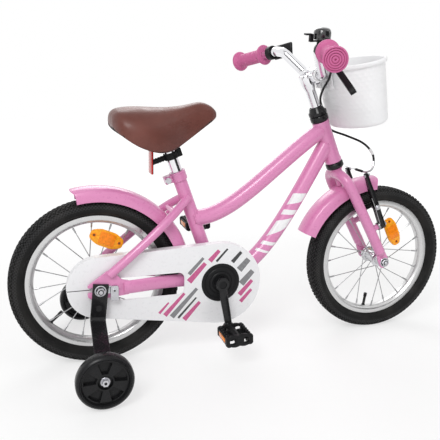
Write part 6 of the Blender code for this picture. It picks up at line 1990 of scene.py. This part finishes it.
def post_pieces():
    stand_for(
        rod(seat(POST_BOTTOM), seat(POST_TOP), POST_RADIUS, CHROME, 48, None, 0.0008), "seat_post"
    )
    matrix = frame_matrix(seat(REFLECTOR_CLAMP_HEIGHT), SEAT_UP, SEAT_FORWARD)
    upright = Matrix.Translation(seat(REFLECTOR_CLAMP_HEIGHT) + Vector((-0.042, 0, -0.012)))
    pieces = [
        ring(
            POST_RADIUS + GAP, POST_RADIUS + 0.003, -0.007, 0.007, matrix, BLACK_PLASTIC, 48, 0.0008
        ),
        block((0.030, 0.012, 0.0096), (-0.0295, 0, 0), BLACK_PLASTIC, matrix, 0.0014, 3),
        block((0.011, 0.0150, 0.0180), (0.0172, 0, 0.0012), BLACK_PLASTIC, matrix, 0.0016, 3),
    ]
    pieces += [
        block((0.0016, 0.0132, 0.0108), (x, 0, 0), BLACK_PLASTIC, matrix, 0.0004)
        for x in (-0.020, -0.026, -0.032)
    ]
    pieces += [
        block((0.0022, 0.0310, 0.0490), (0.0009, 0, 0), BLACK_PLASTIC, upright, 0.0008),
        block((0.0026, 0.0320, 0.0500), (-0.0007, 0, 0), RED, upright, 0.0009),
    ]
    stand_for(pieces, "rear_reflector")


# Stabilisers

SPOKE_PADS = 5


def stabiliser_point(side):
    height = STABILISER_RADIUS + STABILISER_CLEARANCE
    back = (REAR_AXLE.z - height) * math.tan(STABILISER_LEAN)
    return Vector((REAR_AXLE.x - back, side * STABILISER_TRACK, height))


def sector(inner, outer, start, end, corner):
    """A pocket between two radii and two angles in degrees, with round corners."""
    points = []
    for radius, angles in (
        (outer, range(round(start), round(end) + 1, 4)),
        (inner, range(round(end), round(start) - 1, -6)),
    ):
        points += [
            (radius * math.cos(math.radians(a)), radius * math.sin(math.radians(a))) for a in angles
        ]
    return filleted_outline(points, corner, 3)


def stabiliser_wheel_piece(label, side):
    """A moulded wheel with a raised tread, a stepped side and five pockets between broad spokes."""
    half, radius = STABILISER_WIDTH / 2, STABILISER_RADIUS
    recess = half - 0.0125
    matrix = side_plane(stabiliser_point(side))
    upper = [
        (AXLE_RADIUS + GAP, half - 0.0105), (0.0135, half - 0.0105), (0.0145, half - 0.0110),
        (0.0145, recess - 0.001), (radius * 0.79, recess - 0.001), (radius * 0.80, recess + 0.001),
        (radius * 0.825, half - 0.0015), (radius * 0.835, half - 0.0004), (radius * 0.855, half),
        (radius * 0.865, half - 0.0012), (radius * 0.875, half - 0.0012),
        (radius - 0.0060, half - 0.0004), (radius - 0.0030, half - 0.0020),
        (radius - 0.0010, half - 0.0050), (radius, half - 0.0085),
    ]
    profile = upper + [(r, -z) for r, z in upper[::-1]]
    pieces = [lathe(profile, matrix, WHEEL_PLASTIC, 96, closed=True, sharp=35)]
    loops = [circle((0, 0), radius * 0.805, 80), circle((0, 0), 0.0140, 40)]
    for number in range(SPOKE_PADS):
        middle = 90 + 360 * number / SPOKE_PADS
        loops.append(sector(0.0165, radius * 0.745, middle - 20, middle + 20, 0.0040))
    for low, high in ((recess - 0.0012, recess + 0.0066), (-recess - 0.0066, 0.0012 - recess)):
        pieces.append(plate(loops, low, high, matrix, WHEEL_PLASTIC, 0.0008))
    stand_for(pieces, f"{label}_stabiliser_wheel")


def stabiliser_bracket_piece(label, side):
    """The bent bar with its ribs, a slot shown as a black patch of painted shade, a washer and nut
    above and the wheel's bolt below.
    """
    inner = REAR_DROPOUT_OUTER + TUG_THICKNESS
    wheel_face = STABILISER_TRACK - STABILISER_WIDTH / 2 - 0.0015
    wheel = stabiliser_point(side)
    drop = (REAR_AXLE.z - wheel.z) / math.cos(STABILISER_LEAN)
    half = BRACKET_BAR_THICKNESS / 2
    bends = (
        (inner + half, 0.014), (inner + half, -0.062), (wheel_face - half, -drop + 0.016),
        (wheel_face - half, -drop - 0.014),
    )
    path = filleted([Vector((0, out, up)) for out, up in bends], 0.012, 8)
    ahead = Vector((math.cos(STABILISER_LEAN), 0, -math.sin(STABILISER_LEAN)))
    along = frame_matrix(REAR_AXLE, ahead, ACROSS).to_3x3() @ ACROSS
    centre_line = [REAR_AXLE + Vector((0, side * p.y, 0)) + p.z * along for p in path]
    width = BRACKET_BAR_WIDTH / 2
    out = side * ACROSS
    pieces = [sweep(centre_line, superellipse(width, half, 40, 9.0), BLACK_PAINT, ahead)]
    for x in (-width + 0.0018, width - 0.0018):
        rib = [point + x * ahead + (half + 0.0001) * out for point in centre_line[1:-1]]
        pieces.append(tube(rib, 0.0012, BLACK_PAINT, 10))
    slot_top = centre_line[0].lerp(centre_line[1], 0.75)
    face = frame_matrix(slot_top + (half + 0.0001) * out, out, ahead)
    slot = filleted_outline(
        [(-0.0052, -0.0062), (0.0052, -0.0062), (0.0052, 0.0062), (-0.0052, 0.0062)], 0.005, 5
    )
    outer_face = STABILISER_TRACK + STABILISER_WIDTH / 2
    head, tip = outer_face - 0.0095, outer_face - 0.002
    hub_point = Vector((wheel.x, 0, wheel.z))
    pieces += [
        # The slot is not cut: a thin black patch on the bar's face stands for it, painted shade
        # where the opening is.
        plate([slot], 0.0, 0.0003, face, PIN_BLACK, 0),
        bar(hub_point, out, wheel_face - 0.003, outer_face - 0.004, AXLE_RADIUS, ZINC, 28),
        bar(hub_point, out, head - 0.0006, head + 0.0010, 0.0090, ZINC, 40),
        nut(hub_point, out, head + 0.0010, tip, 0.0072),
        bar(hub_point, out, tip - 0.001, tip + 0.0010, 0.0026, PIN_BLACK, 24),
    ]
    stand_for(pieces, f"{label}_stabiliser_bracket")


def chain_tug_piece(label, side):
    """The pressed block and band, with the small set screw in its face."""
    face = REAR_DROPOUT_OUTER + GAP + 0.006
    point, out = rear(0.028, 0, -0.002), side * ACROSS
    pieces = [
        refined(f"{label}_chain_tug", ZINC, 0.0005),
        bar(point, out, face - 0.0008, face + 0.0008, 0.0042, ZINC, 32),
        nut(point, out, face + 0.0002, face + 0.0010, 0.0021, PIN_BLACK, 0.0001),
    ]
    stand_for(pieces, f"{label}_chain_tug")


def axle_piece(name, axle, low, high):
    """An axle with its washers, nuts and threaded ends."""
    pieces = [bar(axle, ACROSS, -high + 0.0005, high - 0.0005, AXLE_RADIUS, ZINC, 32)]
    for out in (-ACROSS, ACROSS):
        pieces += [
            bar(axle, out, low, low + 0.0014, 0.0115, ZINC, 44),
            bar(axle, out, low + 0.0014, low + 0.0018, 0.0094, PIN_BLACK, 44, edge=0.0001),
            nut(axle, out, low + 0.0018, high, 0.0088, ZINC, 0.0010),
            bar(axle, out, high - 0.0016, high + 0.0004, 0.0058, PIN_BLACK, 28, edge=0.0002),
            bar(axle, out, high - 0.0010, high + 0.0016, 0.0040, ZINC, 28),
        ]
    stand_for(pieces, name)


fork_piece()
stem_piece()
stand_for(tube(bar_path(), BAR_RADIUS, CHROME, 48), "handlebar")
lever_pieces()
front_reflector_piece()
bell_pieces()
basket_piece()
basket_holder()
saddle_pieces()
post_pieces()
for label, side in SIDES.items():
    brake_side(label, side)
    grip_piece(label, side)
    stabiliser_wheel_piece(label, side)
    stabiliser_bracket_piece(label, side)
    chain_tug_piece(label, side)
axle_piece("rear_axle", REAR_AXLE, 0.0665, 0.0755)
axle_piece("front_axle", FRONT_AXLE, 0.0493, 0.0552)
for node, look, edge in (
    ("seat_clamp", PINK, 0.0009),
    ("seat_clamp_bolt", ZINC, 0.0005),
    ("stay_bridge", PINK, 0.0005),
    ("upper_headset_cup", BLACK_PAINT, 0.0005),
    ("lower_headset_cup", BLACK_PAINT, 0.0005),
    ("headset_locknut", BLACK_PAINT, 0.0005),
    ("chain", ZINC, 0.0003),
    ("chainring", ZINC, 0.0004),
    ("rear_sprocket", ZINC, 0.0004),
    ("crank_spindle", ZINC, 0.0005),
    ("saddle_clamp", ZINC, 0.0006),
    ("bell_lever", BLACK_PLASTIC, 0.0008),
):
    stand_for(refined(node, look, edge), node)


# Cable


def cable_route():
    """From the right lever, round the head tube's left side, to the noodle over the brake arms."""
    crossing = BRAKE_PIVOT_HEIGHT + BRAKE_ARM_LENGTH + CABLE_RADIUS + 2 * GAP
    forward = BRAKE_PIVOT_FORWARD
    route = [
        lever_frame() @ Vector((CONTROL_REACH, 0, -LEVER_BARREL_END - drop))
        for drop in (GAP, 0.008)
    ]
    for above, ahead, across in (
        (0.0193, 0.022, -0.358 * BAR_HALF_WIDTH),
        (-0.0087, 0.028, -0.203 * BAR_HALF_WIDTH),
        (-0.0367, 0.026, -0.006),
    ):
        route.append(steer(STEM_HEIGHT + above, ahead, across))
    for share, ahead, across in (
        (0.730, 0.027, 0.024), (0.620, 0.030, 0.034), (0.519, 0.027, 0.030), (0.414, 0.026, 0.018),
        (0.309, 0.050, 0.002), (0.199, 0.073, -0.017), (0.103, 0.079, -0.035),
    ):
        route.append(steer(CROWN_HEIGHT + share * (STEM_HEIGHT - CROWN_HEIGHT), ahead, across))
    noodle = [
        steer(0.246, 0.073, -0.047),
        steer(crossing + 0.004, 0.060, -0.052),
        steer(crossing, 0.050, -0.045),
        steer(crossing, forward, -0.034),
    ]
    return route, noodle, [
        steer(crossing, forward, across) for across in (-0.028, 0.002, 0.006, 0.048)
    ]


def path_length(points):
    return sum((b - a).length for a, b in zip(points, points[1:]))


NOODLE_START = 16
SLEEVE_START = -2
SLEEVE_STEPS = 8


def cable_pieces():
    route, noodle, (boot_low, boot_high, *wire) = cable_route()
    line = smooth_path([*route, *noodle], 10)
    last = 10 * (len(route) - 1)
    ends, sleeve = last + NOODLE_START, last + SLEEVE_START
    outer = line[: ends + 1]
    casing = stand_for(tube(outer, CABLE_RADIUS, BLACK_PLASTIC, 20), "brake_cable")
    length = (boot_high - boot_low).length
    profile = [(0, -0.004), (0.0022, -0.004)]
    for fold in range(7):
        along = length * (fold + 0.2) / 7.2
        profile += [(0.0031, along), (0.0022, along + length / 14.4)]
    profile += [(0.0012, length + 0.002), (0, length + 0.002)]
    boot_frame = frame_matrix(boot_low, boot_high - boot_low, STEER_FORWARD)
    fittings = [
        tube(line[ends:], CABLE_RADIUS * 0.85, SPOKE_METAL, 20),
        rod(line[ends - 4], line[ends + 1], CABLE_RADIUS + 0.0006, CHROME, 24),
        tube(line[sleeve : sleeve + SLEEVE_STEPS], CABLE_RADIUS + 0.0007, SLEEVE, 20),
        lathe(profile, boot_frame, PAD_RUBBER, 24, sharp=60),
        tube([boot_high, *wire], CABLE_RADIUS * 0.35, SPOKE_METAL, 12),
    ]
    parts = goes_with("brake_cable_fittings", fittings, "brake_cable", "silver_alloy")
    tuple(route[0])
    round(path_length(outer), 3)
    [tuple(point) for point in outer]


cable_pieces()


# Camera, light and floor

IMAGE_SIZE = 440
CAMERA_PLACE = Vector((-0.463, -1.205, 0.604))
CAMERA_YAW = math.radians(19.471)
CAMERA_PITCH = math.radians(13.153)
CAMERA_ROLL = math.radians(1.495)
FOCAL_PIXELS = 598.363
PICTURE_CENTRE = (231.816, 211.621)
FLOOR_NEAR = 0.75
FLOOR_FAR = 2.0
FLOOR_LIFT = 0.52
FLOOR_WHITE = 1.12


def camera():
    data = bpy.data.cameras.new("camera")
    data.sensor_width = 36
    data.lens = FOCAL_PIXELS * data.sensor_width / IMAGE_SIZE
    data.shift_x = -(PICTURE_CENTRE[0] - IMAGE_SIZE / 2) / IMAGE_SIZE
    data.shift_y = (PICTURE_CENTRE[1] - IMAGE_SIZE / 2) / IMAGE_SIZE
    data.clip_start = 0.05
    obj = bpy.data.objects.new("camera", data)
    bpy.context.scene.collection.objects.link(obj)
    flat = math.cos(CAMERA_PITCH)
    ahead = Vector(
        (math.sin(CAMERA_YAW) * flat, math.cos(CAMERA_YAW) * flat, -math.sin(CAMERA_PITCH))
    )
    level = ahead.cross(UPWARD).normalized()
    over = level.cross(ahead)
    right = level * math.cos(CAMERA_ROLL) + over * math.sin(CAMERA_ROLL)
    up = over * math.cos(CAMERA_ROLL) - level * math.sin(CAMERA_ROLL)
    obj.matrix_world = Matrix.Translation(CAMERA_PLACE) @ Matrix(
        (right, up, -ahead)
    ).transposed().to_4x4()
    bpy.context.scene.camera = obj


def lamp(name, place, size, watts):
    data = bpy.data.lights.new(name, "AREA")
    data.shape = "DISK"
    data.size = size
    data.energy = watts
    obj = bpy.data.objects.new(name, data)
    obj.location = place
    obj.rotation_euler = (Vector((0, 0, 0.3)) - Vector(place)).to_track_quat("-Z", "Y").to_euler()
    bpy.context.scene.collection.objects.link(obj)


def direct_view(nodes, links):
    """One where the camera, gloss or clear plastic looks, and nought for light that is cast."""
    path = nodes.new("ShaderNodeLightPath")
    total = path.outputs["Is Camera Ray"]
    for name in ("Is Glossy Ray", "Is Transmission Ray"):
        step = nodes.new("ShaderNodeMath")
        step.operation = "MAXIMUM"
        links.new(total, step.inputs[0])
        links.new(path.outputs[name], step.inputs[1])
        total = step.outputs[0]
    return total


def mixed(nodes, links, share, first, second):
    mix = nodes.new("ShaderNodeMixShader")
    links.new(share, mix.inputs[0])
    links.new(first, mix.inputs[1])
    links.new(second, mix.inputs[2])
    return mix.outputs[0]


def floor_finish():
    """A pale floor: it keeps the shadow near the object and fades into the white surround."""
    made = Finish("floor", 0.9)
    made.set("Base Color", (0.84, 0.84, 0.84, 1))
    centre = made.node("ShaderNodeVectorMath", {"operation": "LENGTH"}, _0=made.place)
    far = made.range(centre.outputs["Value"], FLOOR_NEAR, FLOOR_FAR, FLOOR_LIFT, 1.0)
    share = made.sum("MULTIPLY", far, direct_view(made.nodes, made.links))
    white = made.node("ShaderNodeEmission", {}, Strength=FLOOR_WHITE)
    surface = mixed(made.nodes, made.links, share, made.shader.outputs[0], white.outputs[0])
    made.links.new(surface, made.nodes["Material Output"].inputs["Surface"])
    return made.material


def flag(name, place, width, height):
    """A dark card beside the set, seen only in polished metal."""
    shape = bmesh.new()
    bmesh.ops.create_grid(shape, size=0.5)
    bmesh.ops.scale(shape, vec=(width, height, 1), verts=shape.verts)
    ahead = Vector((0, 0, 0.45)) - Vector(place)
    obj = keep(shape, PIN_BLACK, frame_matrix(Vector(place), ahead, ahead.cross(UPWARD)))
    obj.name = obj.data.name = name
    obj.visible_camera = False
    obj.visible_diffuse = False
    obj.visible_shadow = False


def studio():
    """A pale floor that keeps the object's shadow, a white surround, and soft lamps."""
    world = bpy.data.worlds.new("studio")
    bpy.context.scene.world = world
    world.use_nodes = True
    nodes, links = world.node_tree.nodes, world.node_tree.links
    soft, white = nodes["Background"], nodes.new("ShaderNodeBackground")
    for source, strength in ((soft, 0.52), (white, 1.0)):
        source.inputs["Color"].default_value = (1, 1, 1, 1)
        source.inputs["Strength"].default_value = strength
    surface = mixed(nodes, links, direct_view(nodes, links), soft.outputs[0], white.outputs[0])
    links.new(surface, nodes["World Output"].inputs["Surface"])
    shape = bmesh.new()
    bmesh.ops.create_circle(shape, cap_ends=True, radius=6, segments=64)
    floor = keep(shape, floor_finish())
    floor.name = floor.data.name = "floor"
    if floor.data.polygons[0].normal.z < 0:
        floor.data.flip_normals()
    flag("flag_left", (-2.1, -0.9, 0.9), 0.55, 2.2)
    flag("flag_right", (1.45, -1.55, 0.75), 2.1, 2.4)
    flag("flag_far_right", (2.2, 0.1, 0.8), 0.40, 2.2)
    flag("flag_top", (-0.4, -0.6, 2.4), 2.0, 0.35)
    lamp("key", (-1.6, -2.2, 2.6), 1.6, 62)
    lamp("fill", (2.4, -1.6, 1.8), 2.4, 17)
    lamp("back", (0.3, 2.6, 2.4), 2.2, 30)


bpy.context.scene.view_settings.view_transform = "Standard"
camera()
studio()
